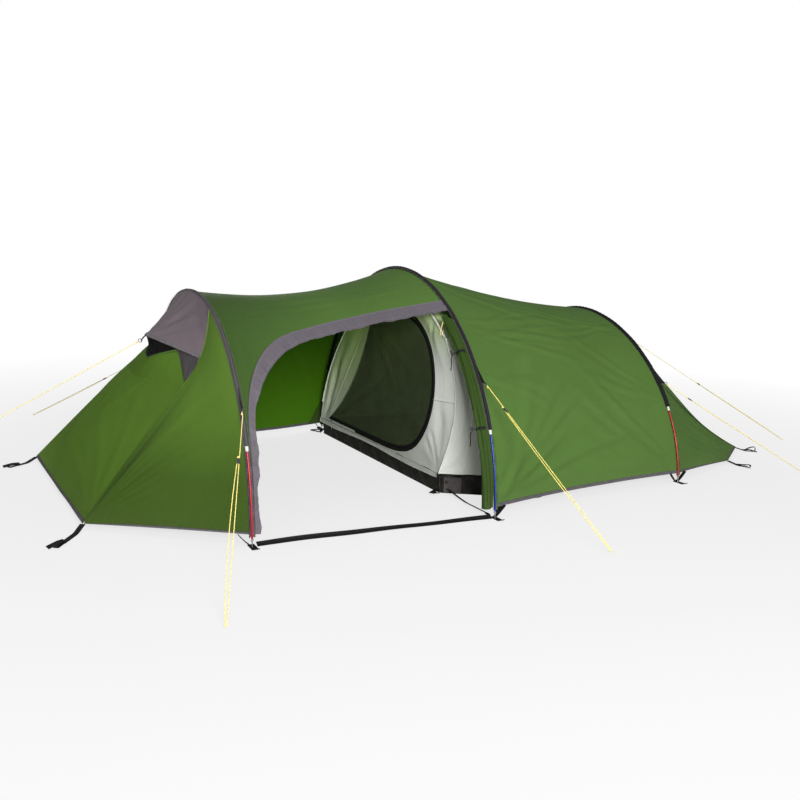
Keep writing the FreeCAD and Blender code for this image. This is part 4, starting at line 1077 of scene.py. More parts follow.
# ---- tail ----------------------------------------------------------------------------------------
def tail():
    low, seam = share_at_height(REAR, HEM_Z), share_at_height(REAR, TAIL_SEAM_Z)

    def side_at(flip):
        def at(u, v):
            rim = hoop_point(REAR, low + (seam - low) * v) + EDGE_STEP
            edge = lerp(TAIL_SIDE, TAIL_END, v)
            bow = sag_curve(u)
            flat = lerp(rim, edge, u)
            flat = flat + arr(0, 0.030 * bow * hump(0.1 + 0.8 * v), -0.034 * bow * v)
            return flip_y(flat) if flip else flat
        return at

    def end_at(u, v):
        rim = hoop_point(REAR, seam + (1 - 2 * seam) * v) + EDGE_STEP
        edge = lerp(TAIL_END, flip_y(TAIL_END), v)
        flat = lerp(rim, edge, u)
        return flat - arr(0, 0, (0.034 + 0.040 * hump(v)) * sag_curve(u))

    for flip, side in ((False, "near"), (True, "far")):
        folds = rays(6, 0.05, 0.95, 0.05, 0.0055, 60 + flip, 0.02, 1.0)
        wide = rays(3, 0.10, 0.90, 0.12, 0.0060, 64 + flip, 0.02, 1.0)

        def height(u, v):
            return (folds(u, v) + wide(u, v)) * clamp((1 - v) / 0.06) * clamp(v / 0.05)
        surface = Surface(side_at(flip), height, (1.6, 0, 0.1))
        u, v = uv_grid(81, 61)
        sheet("tail_" + side + "_sheet", surface.point(u, v), FLY, "fly_tail_" + side, centre=surface.middle)
        t = np.linspace(0, 1, 80)
        SEAMS["hems"].append(strip_between(surface, (t, 0), (t, 0.030)))
        SEAMS["hems"].append(strip_between(surface, (0.978, t), (1, t)))
        line = side_at(flip)(t, np.ones_like(t))
        out = np.array([0.4, 0.6 if flip else -0.6, 0.7])
        across = np.cross(np.gradient(line, axis=0), out)
        SEAMS["tail"].append(ribbon_data(line + out * 0.0010, across, 0.011, 0.0012))
    folds = rays(10, 0.02, 0.98, 0.035, 0.0065, 70, 0.02, 1.0)
    wide = rays(4, 0.05, 0.95, 0.09, 0.0080, 71, 0.02, 1.0)
    surface = Surface(end_at, lambda u, v: (folds(u, v) + wide(u, v)) * clamp(np.minimum(v, 1 - v) / 0.04),
                      (1.6, 0, 0.0))
    u, v = uv_grid(91, 111)
    sheet("tail_end_sheet", surface.point(u, v), FLY, "fly_tail_end", centre=surface.middle)
    t = np.linspace(0, 1, 120)
    SEAMS["hems"].append(strip_between(surface, (0.984, t), (1, t)))


# ---- sleeves -------------------------------------------------------------------------------------
def hoop_frame(hoop, shares, grow=0.0):
    p = hoop_point(hoop, shares, grow)
    ahead, back = hoop_point(hoop, clamp(shares + 5e-4), grow), hoop_point(hoop, clamp(shares - 5e-4), grow)
    t = ahead - back
    t /= np.linalg.norm(t, axis=1, keepdims=True)
    return p, t, arr(0, -t[:, 2], t[:, 1])


def even_shares(hoop, first, last, count, grow=0.0):
    fine = np.linspace(first, last, 2000)
    p = hoop_point(hoop, fine, grow)
    d = run_along(p)
    return np.interp(np.linspace(0, d[-1], count), d, fine), d[-1]


# half of a sleeve's section, as (x, distance out from the pole), from its flange over the top and back below
HALF_SECTION = [(-0.0145, 0.0014), (-0.0120, 0.0024), (-0.0102, 0.0052), (-0.0080, 0.0092), (-0.0044, 0.0116),
                (0.0, 0.0124)]
HALF_BELOW = [(0.0145, 0.0004), (0.0110, -0.0034), (0.0070, -0.0080), (0.0, -0.0104)]
SLEEVE_SECTION = HALF_SECTION + [(-x, out) for x, out in HALF_SECTION[-2::-1]] \
    + HALF_BELOW + [(-x, out) for x, out in HALF_BELOW[-2::-1]]
SLEEVE_SIZES = {"front": (0.60, 0.85), "centre": (0.80, 1.0), "rear": (1.10, 1.15)}
BACKING_X = (-0.0140, -0.0105, -0.0065, 0.0, 0.0065, 0.0105, 0.0140)
BACKING_DEPTH = (0.0018, -0.001, -0.0065, -0.0082, -0.0065, -0.001, 0.0018)
CUFF_RADII = (0.0058, 0.0070, 0.0074, 0.0072, 0.0075, 0.0073, 0.0076, 0.0078, 0.0080, 0.0080)


def pole_backing(name, hoop, side):
    """Cloth behind the bare lower part of a pole."""
    top = share_at_height(hoop, SLEEVE_FROM_Z + 0.03)
    shares, _ = even_shares(hoop, share_at_height(hoop, 0.040), top, 90)
    p, _, out = hoop_frame(hoop, shares if side < 0 else 1 - shares)
    xs = np.array(BACKING_X)
    if name == "centre" and side < 0:
        xs[:3] = (-0.0110, -0.0085, -0.0060)
    wobble = 0.0010 * np.sin(np.linspace(0, 30, len(shares)))[:, None] * (np.abs(xs) < 0.012)
    grid = p[:, None] + arr(xs, 0, 0) + out[:, None] * (np.array(BACKING_DEPTH) + wobble)[..., None]
    return sheet_data(grid, 0.0014, centre=(hoop["x"], 0, 0.2))


def sleeves():
    cuffs = []
    for name, look in SLEEVE_LOOKS.items():
        hoop = HOOPS[name]
        first = share_at_height(hoop, SLEEVE_FROM_Z)
        shares, length = even_shares(hoop, first, 1 - first, 520)
        p, _, out = hoop_frame(hoop, shares)
        run = np.linspace(0, length, len(shares))
        r = np.random.default_rng(80 + len(name))
        section = np.array(SLEEVE_SECTION) * SLEEVE_SIZES[name]
        gather = 1 + 0.05 * wave(run, 0.031, 3 * np.sin(run * 7)) \
            + 0.04 * wave(run, 0.013, 2 * np.sin(run * 13)) + r.normal(0, 0.008, len(run))
        lean = 0.0012 * wave(run, 0.21)
        top = clamp(section[:, 1] / section[:, 1].max())
        height = section[:, 1] * np.where(section[:, 1] > 0.003, gather[:, None], 1.0)
        rings = p[:, None] + arr(section[:, 0] + lean[:, None] * top, 0, 0) + out[:, None] * height[..., None]
        cloth_tube = ring_mesh(rings, run_along(rings.mean(axis=1)), run_along(rings[len(rings) // 2]))
        joined("sleeve_" + name + "_cloth", [cloth_tube], look, "sleeve_" + name)
        # two rows of stitches along the flanges
        threads = [tube_data(p + out * 0.0022 + np.array([x, 0, 0]), 0.0006, 4) for x in (-0.0130, 0.0130)]
        joined("sleeve_" + name + "_stitching", threads, THREAD)
        lower = [pole_backing(name, hoop, side) for side in (-1, 1)]
        joined("pole_backing_" + name, lower, TRIM if name == "front" else FLY)
        for side in (-1, 1):
            shares, _ = even_shares(hoop, share_at_height(hoop, 0.404), share_at_height(hoop, 0.426), 10)
            cuffs.append(tube_data(hoop_point(hoop, shares if side < 0 else 1 - shares), CUFF_RADII, 16))
    joined("sleeve_cuff_ends", cuffs, CUFF, "sleeve_cuffs")


# ---- webbing -------------------------------------------------------------------------------------
def pin_place(hoop, side):
    share = share_at_height(hoop, 0.034)
    top, above = hoop_point(hoop, share), hoop_point(hoop, share + 0.004)
    lean = (top - above) / np.linalg.norm(top - above)
    end = top + lean * (top[2] / -lean[2])
    return np.array([end[0], end[1] if side < 0 else -end[1], 0.0])


def smooth(points, rounds=3):
    p = np.asarray(points, float)
    for _ in range(rounds):
        q = p.copy()
        q[1:-1] = (p[:-2] + 2 * p[1:-1] + p[2:]) / 4
        p = q
    return p


def ground_plate(pin, side):
    """Webbing lying under a pole's pin, with a turned-up tail."""
    y = np.linspace(-0.060, 0.024, 29) * (1 if side < 0 else -1)
    rows = []
    for x in np.linspace(-0.0150, 0.0150, 7):
        lift = 0.0010 + 0.010 * clamp((np.abs(y) - 0.040) / 0.022) ** 2 * (np.sign(y) == side)
        rows.append(arr(pin[0] + x + 0 * y, pin[1] + y, lift))
    return sheet_data(np.stack(rows, 1), 0.0026, centre=None)


def foot_leg(pin, side, way, hem_y):
    foot = pin + np.array([way * 0.006, -side * 0.012, 0.0030])
    top = np.array([pin[0] + way * 0.060, hem_y - side * 0.004, HEM_Z + 0.004])
    line = dense([foot, foot + (top - foot) * 0.4 + np.array([0, 0, -0.004]), top], 0.005)
    return ribbon_data(smooth(line, 6), (0, 1, 0.1), 0.020, 0.0026)


def peg_loop(corner, end, width=0.024, lift=0.0):
    """Webbing from a corner down to the ground, ending in a folded-back loop."""
    away = np.array([end[0] - corner[0], end[1] - corner[1], 0])
    reach = np.linalg.norm(away)
    away /= reach
    start = corner + np.array([0, 0, -0.003])
    mid = np.array([corner[0], corner[1], 0.003]) + away * 0.07
    last = np.array([end[0], end[1], 0.004])
    across = np.cross(away, [0, 0, 1.0])
    lead = smooth(dense([start, mid, last - away * 0.065], 0.006), 8)
    parts = [ribbon_data(lead, across, width, 0.0034)]
    # the loop stands a little open
    s = np.linspace(0, 1, 40)
    open_z = (0.0125 + lift) * hump(s) ** 0.7
    x = np.interp(s, [0, 0.5, 1], [0.070, 0.0, 0.070])
    back = last - away * x[:, None] + arr(0, 0, (s >= 0.5) * 0.004 + open_z * (s > 0.5))
    back[:, 2] = np.maximum(back[:, 2], 0.0018)
    turn = smooth(back, 4)
    turn[:, 2] = np.maximum(turn[:, 2], 0.0018)
    parts.append(ribbon_data(turn, across, width * 0.9, 0.0018))
    # free tail of the webbing beside the loop
    aside = unit(away + across * 0.45)
    tail_line = smooth(dense([last - away * 0.085 + [0, 0, 0.006],
                              last - away * 0.060 + aside * 0.02 + [0, 0, 0.012],
                              last - away * 0.065 + aside * 0.075 + [0, 0, 0.004]], 0.005), 4)
    leaning = np.cross(aside, [0, 0, 1.0]) + np.array([0, 0, 0.5])
    parts.append(ribbon_data(tail_line, leaning, width * 0.85, 0.0022))
    # bar tack where the loop is sewn
    tack = last - away * 0.068 + np.array([0, 0, 0.0045])
    parts.append(tube_data([tack - across * width * 0.48, tack + across * width * 0.48], 0.0014, 6))
    return parts


def webbing():
    plates, loops = [], []
    for name, hoop in HOOPS.items():
        for side in (-1, 1):
            pin = pin_place(hoop, side)
            hem_y = hoop_point(hoop, share_at_height(hoop, HEM_Z))[1] * (1 if side < 0 else -1)
            plates.append(ground_plate(pin, side))
            ways = (-1, 1)
            if side < 0 and name == "front":
                ways = (-1,)
            if side < 0 and name == "centre":
                ways = (1,)
            for way in ways:
                plates.append(foot_leg(pin, side, way, hem_y))
    joined("foot_strap_webbing", plates, WEBBING, "foot_straps")
    for corner, end in ((NOSE_NEAR, (-1.957, -0.712)), (NOSE_FAR, (-2.064, 0.738)),
                        (TAIL_SIDE, (2.080, -0.905)), (flip_y(TAIL_SIDE), (2.080, 0.905)),
                        (TAIL_END, (2.500, -0.605)), (flip_y(TAIL_END), (2.500, 0.605))):
        loops += peg_loop(corner, np.array(end), lift=0.016 if corner[0] > 2.2 else 0.0)
    joined("corner_peg_loops", loops, WEBBING, "corner_straps")
    a, b = pin_place(FRONT, -1), pin_place(CENTRE, -1)
    t = np.linspace(0, 1, 120)
    line = a + (b - a) * t[:, None] + arr(0, 0.010 * hump(t) + 0.004 * np.sin(9 * t),
                                          0.0016 + 0.004 * hump(t) ** 2 * (0.5 + 0.5 * np.sin(14 * t)))
    tilt = 0.42 + 0.14 * np.sin(7 * t)
    twist = arr(0, np.cos(tilt), np.sin(tilt))
    line[:, 2] += 0.016 * np.sin(tilt)
    joined("porch_ground_webbing", [ribbon_data(line[2:-2], twist[2:-2], 0.027, 0.0030)], WEBBING,
           "porch_ground_strap")


# ---- guy lines -----------------------------------------------------------------------------------
GUYS = {
    "front_near": ("front", -1, 0.578, (-1.525, -1.717, 0.007), 0.27),
    "front_far": ("front", 1, 0.610, (-1.817, 2.273, 0.007), 0.36),
    "centre_near": ("centre", -1, 0.645, (0.190, -1.710, 0.007), 0.16),
    "centre_far": ("centre", 1, 0.645, (0.190, 1.710, 0.007), 0.16),
    "rear_near": ("rear", -1, 0.552, (2.250, -1.170, 0.007), 0.16),
    "rear_far": ("rear", 1, 0.552, (2.250, 1.170, 0.007), 0.16),
    "rear_ridge": ("rear", 0, 0.945, (3.015, -0.432, 0.007), 0.55),
    "hood": ("front", 0, 0.790, (-2.800, 0.300, 0.007), 0.62),
}


def side_point(hoop, side, z):
    p = hoop_point(hoop, share_at_height(hoop, z))
    return p if side < 0 else flip_y(p)


def guy_anchor(hoop, side, z, peg):
    if hoop is FRONT and side == 0:
        return np.array([HOOD_TIP[0] - 0.026, 0, z]), np.array([-1.0, 0, 0])
    if side == 0:
        return np.array([hoop["x"] + 0.040, 0, z - 0.002]), np.array([1.0, 0, 0])
    p = side_point(hoop, side, z)
    along = unit(side_point(hoop, side, z + 0.005) - p)
    off = np.array([0, side * along[2], abs(along[1])])
    return p + off * 0.026 + unit(peg - p) * 0.032, off


def circle(centre, a, b, radius, start, end, count):
    t = np.linspace(start, end, count)
    return centre + radius * (np.cos(t)[:, None] * a + np.sin(t)[:, None] * b)


def guys():
    lines, tabs = [], []
    for hoop_name, side, z, peg, share in GUYS.values():
        hoop, peg = HOOPS[hoop_name], np.array(peg)
        ring_at, off = guy_anchor(hoop, side, z, peg)
        down = unit(peg - ring_at)
        across = unit(np.cross(down, [0, 0, 1.0]))
        lift = unit(np.cross(across, down))
        start = ring_at + down * (RING_R + 0.0016 + CORD_R + 0.0005)
        length = np.linalg.norm(peg - start)
        middle = start + down * (length * share)
        step = across * (STRAND_GAP / 2)
        # from a knot below the ring, down through the runner, round the peg and back up to the runner
        ring_loop = circle(ring_at + down * (RING_R + 0.0016), down, lift, 0.0034, -2.4, 2.4, 18)
        lines.append(tube_data(ring_loop, CORD_R * 0.9, 8))
        knot = circle(start + down * 0.004, lift, across, 0.0024, 0, 4 * math.pi, 26)
        knot = knot + down * np.linspace(0, 0.007, 26)[:, None]
        lines.append(tube_data(knot, CORD_R * 0.95, 8))
        t = np.linspace(0, 1, 60)
        upper = start + down * 0.006 - step + (down * (length - 0.012)) * t[:, None]
        lines.append(tube_data(upper, CORD_R, 8))
        low_from = middle + step - down * (RUNNER_LENGTH / 2 + 0.004)
        low_to = start + down * (length - 0.006) + step
        lower = low_from + (low_to - low_from) * t[:, None] + across * (0.011 * hump(t) ** 0.8)[:, None]
        lines.append(tube_data(lower, CORD_R, 8))
        bend = circle(start + down * (length - 0.006), -across, down, STRAND_GAP / 2, 0, math.pi, 12)
        bend[:, 2] = np.maximum(bend[:, 2], 0.0016)
        lines.append(tube_data(bend, CORD_R, 8))
        stop = circle(low_from, lift, across, 0.0022, 0, 4 * math.pi, 24)
        stop = stop - down * np.linspace(0, 0.006, 24)[:, None]
        lines.append(tube_data(stop, CORD_R * 0.95, 8))
        tabs += guy_tab(hoop, side, z, ring_at, off)
    joined("guy_cords", lines, LINE, "guy_lines")
    joined("guy_tab_webbing", tabs, WEBBING, "guy_tabs")


def guy_tab(hoop, side, z, ring_at, off):
    """Tab that is wide on the sleeve and narrow where it folds round the ring."""
    if hoop is FRONT and side == 0:
        line = dense([HOOD_TIP + np.array([0.020, 0, -0.004]), HOOD_TIP + np.array([-0.004, 0, -0.002]),
                      ring_at + np.array([0.006, 0, 0.002])], 0.003)
        fold = circle(ring_at, np.array([1.0, 0, 0]), np.array([0, 0, 1.0]), 0.0030, -2.0, 2.0, 12)
        return [ribbon_data(smooth(line, 4), (0, 1, 0), 0.020, 0.0026),
                ribbon_data(fold + np.array([0.004, 0, 0]), (0, 1, 0), 0.016, 0.0014)]
    if side == 0:
        root = np.array([hoop["x"] + 0.012, 0, z + 0.010])
        line = dense([root, ring_at - np.array([0.006, 0, 0])], 0.003)
        return [ribbon_data(line, (0, 1, 0), 0.020, 0.0026)]
    low = side_point(hoop, side, z - 0.005) + off * 0.0135
    high = side_point(hoop, side, z + 0.075) + off * 0.0135
    along = unit(high - low)
    tip = ring_at + unit(low + (high - low) * 0.3 - ring_at) * (RING_R - 0.001)
    t, v = uv_grid(14, 9)
    root = lerp(low, high, v)
    end = tip + along * (-0.004 + 0.009 * v)[..., None]
    p = root + (end - root) * (t ** 0.92)[..., None]
    p = p + arr(0.0018 * hump(t) * np.sin(2 * math.pi * v), 0 * t, 0)
    return [sheet_data(p, 0.0020, centre=None),
            tube_data([tip - along * 0.005, tip + along * 0.006], 0.0022, 8)]


# ---- rolled porch door ---------------------------------------------------------------------------
def roll_frame(z_from, z_to, count):
    a, b = share_at_height(CENTRE, z_from, -ROLL_IN), share_at_height(CENTRE, z_to, -ROLL_IN)
    shares, length = even_shares(CENTRE, a, b, count, -ROLL_IN)
    p, t, out = hoop_frame(CENTRE, shares, -ROLL_IN)
    return p + np.array([ROLL_X, 0, 0]), t, out, np.linspace(0, length, count)


def door_roll():
    p, t, out, run = roll_frame(0.050, 0.940, 200)
    p = p + np.array([0.008, 0, 0]) + out * 0.007
    ties = [run[np.argmin(np.abs(p[:, 2] - z))] for z in TIE_Z]
    squeeze = np.ones_like(run)
    for place in ties:
        squeeze -= 0.13 * np.exp(-((run - place) / 0.030) ** 2)
    squeeze += 0.03 * np.sin(run * 13 + 1)
    squeeze *= 0.95 - 0.30 * clamp(1 - (run[-1] - run) / 0.09)
    turns, steps = 3.4, 150
    s = np.linspace(0, 1, steps)
    angle = s * turns * 2 * math.pi + 0.9
    radius = 0.005 + 0.0195 * s
    fold = np.zeros((len(run), steps))
    r = np.random.default_rng(90)
    for _ in range(7):
        number, phase, drift = r.integers(2, 9), r.uniform(0, 6.3), r.uniform(-9, 9)
        fold += np.sin(number * angle + phase + drift * run[:, None]) * r.uniform(0.3, 1.0)
    near_tie = np.min(np.abs(run[:, None] - np.array(ties)), axis=1) < 0.09
    fold *= 0.0011 * s ** 0.5 * (1 + near_tie)[:, None]
    size = (radius + fold) * squeeze[:, None]
    x = np.array([1.0, 0, 0])
    turn = np.cos(angle)[:, None] * x + np.sin(angle)[:, None] * out[:, None]
    grid = p[:, None] + size[..., None] * turn
    sheet("porch_door_rolled", grid, FLY_SHADED, "porch_door_roll", centre=None, thick=0.0016)
    # the roll hangs on a flange that is sewn to the hoop's sleeve
    edge = grid[:, -1]
    ends = share_at_height(CENTRE, 0.055), share_at_height(CENTRE, 0.935)
    sleeve_line = hoop_point(CENTRE, even_shares(CENTRE, *ends, 200)[0]) + np.array([-0.013, 0, 0])
    w = np.linspace(0, 1, 9)
    flange = rows_between(edge, sleeve_line, w) + out[:, None] * (0.006 * hump(w))[None, :, None]
    # a dark-edged hem shows along the outside of the roll
    hem = ribbon_data(grid[:, -12] + out * 0.0012, np.cross(t, out), 0.010, 0.0014)
    joined("porch_door_flange", [sheet_data(flange, 0.0014, centre=(0, 0, 0.2)), hem], FLY_SHADED)
    bands = []
    for place in ties:
        i = int(np.argmin(np.abs(run - place)))
        rad = 0.0245 * 0.95 * 0.87 + 0.0024
        ring = circle(p[i], x, out[i], rad, 0.3, 2 * math.pi + 0.3, 60)
        bands.append(ribbon_data(ring, t[i], 0.014, 0.0018))
        spot = p[i] - np.array([0.008, 0, 0]) - out[i] * 0.007 + np.array([-ROLL_R - 0.009, 0, 0])
        near, outer = p[i] + np.array([-rad, 0, 0]), spot + np.array([-0.0035, 0, 0])
        loop = [near + t[i] * 0.004, outer + t[i] * 0.002, outer - t[i] * 0.002, near - t[i] * 0.004]
        bands.append(tube_data(smooth(dense(loop, 0.0012), 3), 0.0013, 8))
        # the band's free tail hangs down
        tail_line = [spot + np.array([0.006, 0, 0]), spot + np.array([-0.002, 0.002, -0.02]),
                     spot + np.array([0.003, 0.004, -0.055]), spot + np.array([-0.002, 0.0, -0.085])]
        bands.append(ribbon_data(smooth(dense(tail_line, 0.004), 5), (0.1, 1, 0), 0.008, 0.0012))
    joined("porch_door_tie_bands", bands, WEBBING, "porch_door_ties")
    # pull cord of the porch door's zip, hanging from the top of the roll
    top = p[-8] + np.array([-0.030, -0.006, 0.0])
    hang = [top, top + np.array([-0.010, -0.004, -0.030]), top + np.array([-0.016, 0, -0.060]),
            top + np.array([-0.002, 0.004, -0.072]), top + np.array([0.004, 0, -0.045])]
    joined("door_pull_cord", [tube_data(smooth(dense(hang, 0.004), 6), 0.0016, 8)], LINE)


# ---- inner tent ----------------------------------------------------------------------------------
def inner_point(x, share):
    x, share = np.broadcast_arrays(np.asarray(x, float), np.asarray(share, float))
    u = x / REAR["x"]
    pull = 1.0 - BODY_SAG * 4 * np.maximum(u, 0) * (1 - np.maximum(u, 0))
    p, q = hoop_point(CENTRE, share, -INNER_GAP), hoop_point(REAR, share, -INNER_GAP)
    flat = lerp(p, q, u)
    y, z = flat[..., 1] * pull, flat[..., 2] * pull
    slack = FAR_SLACK * clamp((z - TUB_H) / 0.70) ** 1.2 * clamp(y / 0.60)
    return arr(x, y - slack * clamp(1 - x / 0.9) ** 1.5, z)


def share_above_tub(x):
    x = np.asarray(x, float)
    low, high = np.zeros_like(x), np.full_like(x, 0.3)
    for _ in range(40):
        mid = (low + high) / 2
        under = inner_point(x, mid)[..., 2] < TUB_H + 0.002
        low, high = np.where(under, mid, low), np.where(under, high, mid)
    return high


def inner_half(x):
    if x <= REAR["x"]:
        return -inner_point(x, share_above_tub(x))[..., 1]
    t = (x - REAR["x"]) / (FOOT_X - REAR["x"])
    return inner_half(REAR["x"]) * (1 - t) + FOOT_HALF * t


def tub_outline():
    xs = [DIAGONAL_END_X, 0.800, 1.100, REAR["x"]]
    near = [(WALL_X, CORNER_Y)] + [(x, -float(inner_half(x))) for x in xs] + [(FOOT_X, -FOOT_HALF)]
    away = [(FOOT_X, FOOT_HALF)] + [(x, float(inner_half(x))) for x in reversed(xs)]
    return near + away + [(WALL_X, float(inner_half(WALL_X)))]


def tub():
    corners = tub_outline()
    line = dense([np.array([x, y, 0.0]) for x, y in corners + [corners[0]]], 0.012)
    run = run_along(line)
    # round the corners a little
    loop = line[:-1]
    for _ in range(6):
        loop = (np.roll(loop, 1, 0) + 2 * loop + np.roll(loop, -1, 0)) / 4
    line = np.concatenate([loop, loop[:1]])
    tangent = np.roll(loop, -1, 0) - np.roll(loop, 1, 0)
    tangent /= np.linalg.norm(tangent, axis=1, keepdims=True)
    out = np.stack([tangent[:, 1], -tangent[:, 0], 0 * tangent[:, 0]], -1)
    out = np.concatenate([out, out[:1]])
    total = run[-1]
    a = run / total * 2 * math.pi
    v = np.linspace(0, 1, 13)
    sag = 0.5 + 0.5 * np.sin(23 * a + 1.0)
    height = TUB_H - 0.008 * sag[:, None]
    bulge = 0.006 * np.sin(37 * a)[:, None] * hump(v) + 0.004 * np.sin(61 * a + 2)[:, None] * wave(v, 1.0)
    # the foot of the wall turns in with a soft radius, and the long sides lean in towards the floor
    tuck = 0.075 * clamp((line[:, 0] - DIAGONAL_END_X + 0.02) / 0.25) * clamp((FOOT_X - line[:, 0]) / 0.2)
    bulge -= 0.010 * (1 - v) ** 4 + tuck[:, None] * (1 - v) ** 1.3
    grid = line[:, None] + arr(0, 0, v * height) + out[:, None] * bulge[..., None]
    grid[..., 2] = np.maximum(grid[..., 2], 0.0012)
    parts = [sheet_data(grid, 0.0014, centre=(0.9, 0, 0.05))]
    # floor
    w = np.linspace(0, 1, 9)
    middle = np.array([0.95, 0.0, 0.002])
    floor = middle + (grid[:, 0] + out * 0.002 - middle)[:, None] * w[None, :, None]
    floor[..., 2] = 0.0018 + 0.002 * (0.5 + 0.5 * np.sin(floor[..., 0] * 23 + 2 * np.sin(floor[..., 1] * 17)))
    points = floor.reshape(-1, 3)
    parts.append((points, grid_quads(*floor.shape[:2]).tolist(), points[:, :2]))
    joined("tub_cloth", parts, TUB, "inner_tub")
    # piping where tub and canopy meet
    joined("tub_piping", [tube_data(grid[:, -1] + np.array([0, 0, 0.001]), 0.0022, 6)], TUB)
    corner = np.array([WALL_X, CORNER_Y, 0])
    side_corner = np.array([DIAGONAL_END_X, -float(inner_half(DIAGONAL_END_X)), 0])
    way = unit(side_corner - corner)
    face = np.array([way[1], -way[0], 0])
    u, v = uv_grid(20, 16)
    p = corner + way * (0.030 + 0.095 * u)[..., None] + face * (0.0062 + 0.004 * hump(u) * v)[..., None]
    p[..., 2] = 0.010 + 0.086 * v
    sheet("tub_patch_cloth", p, PATCH, "tub_corner_patch", centre=(0.9, 0, 0.05))
    ties = []
    foot, far_foot = pin_place(CENTRE, -1), pin_place(CENTRE, 1)
    far_corner = np.array([WALL_X, float(inner_half(WALL_X)), 0])
    for start, end in ((corner + way * 0.05, foot), (corner + way * 0.36, foot), (far_corner, far_foot)):
        away = unit(end - start)
        s = np.linspace(0, 1, 40)
        a, b = start + away * 0.004 + np.array([0, 0, 0.030]), end - away * 0.055 + np.array([0, 0, 0.003])
        line = lerp(a, b, s) - arr(0, 0, 0.012 * hump(s))
        line[:, 2] = np.maximum(line[:, 2], 0.002)
        across = np.cross(away, [0, 0, 1.0])
        ties.append(ribbon_data(line, across + np.array([0, 0, 0.35]), 0.022, 0.0022))
        buckle = b - away * 0.01
        buckle_line = [buckle - away * 0.012, buckle, buckle + away * 0.012]
        ties.append(ribbon_data(buckle_line, across, 0.016, 0.0040))
    for place, way_out in ((corner, (-0.85, -0.5)), (far_corner, (-0.9, 0.3))):
        away = unit([way_out[0], way_out[1], 0])
        s = np.linspace(0, 1, 30)
        reach = np.interp(s, [0, 0.5, 1], [0.0, 0.080, 0.0])
        loop_line = place + away * reach[:, None] + arr(0, 0, 0.004 + 0.020 * s + 0.006 * hump(s))
        ties.append(ribbon_data(smooth(loop_line, 3), np.cross(away, [0, 0, 1.0]), 0.026, 0.0028))
    joined("tub_tie_webbing", ties, WEBBING, "tub_ties")


def leaf_curve():
    curve = natural_spline([(y, z) for y, z in LEAF] + [HINGE_HEAD])
    free = curve(np.linspace(0, 1, 220))
    bottom = lerp(HINGE_FOOT, free[0], np.linspace(0, 1, 60, endpoint=False))
    hinge = lerp(HINGE_HEAD, HINGE_FOOT, np.linspace(0, 1, 80)[1:])
    return np.concatenate([bottom, free, hinge])


def inset_loop(loop, gap):
    """Closed y, z loop moved inwards by gap."""
    t = np.roll(loop[:-1], -1, 0) - np.roll(loop[:-1], 1, 0)
    t = t / np.maximum(np.linalg.norm(t, axis=1, keepdims=True), 1e-9)
    n = np.stack([-t[:, 1], t[:, 0]], -1)
    towards = LEAF_MIDDLE - loop[:-1]
    n *= np.sign(np.sum(n * towards, axis=1, keepdims=True))
    moved = loop[:-1] + n * gap
    return np.concatenate([moved, moved[:1]])


def wall_folds(y, z):
    q = np.stack([y, z], -1)
    folds = fans((((-0.60, 0.13), (-0.55, 0.95), (-0.30, 0.30), 4, 0.022, 0.006, 101, 0.01),
                  ((-0.50, 0.93), (-0.58, 0.25), (-0.40, 0.50), 3, 0.022, 0.004, 102, 0.01),
                  ((0.95, 0.15), (0.55, 0.80), (0.75, 0.35), 4, 0.025, 0.006, 103, 0.01)))
    return fold_field(q, folds) + ripple(q, 0.3, 0.004, 104)


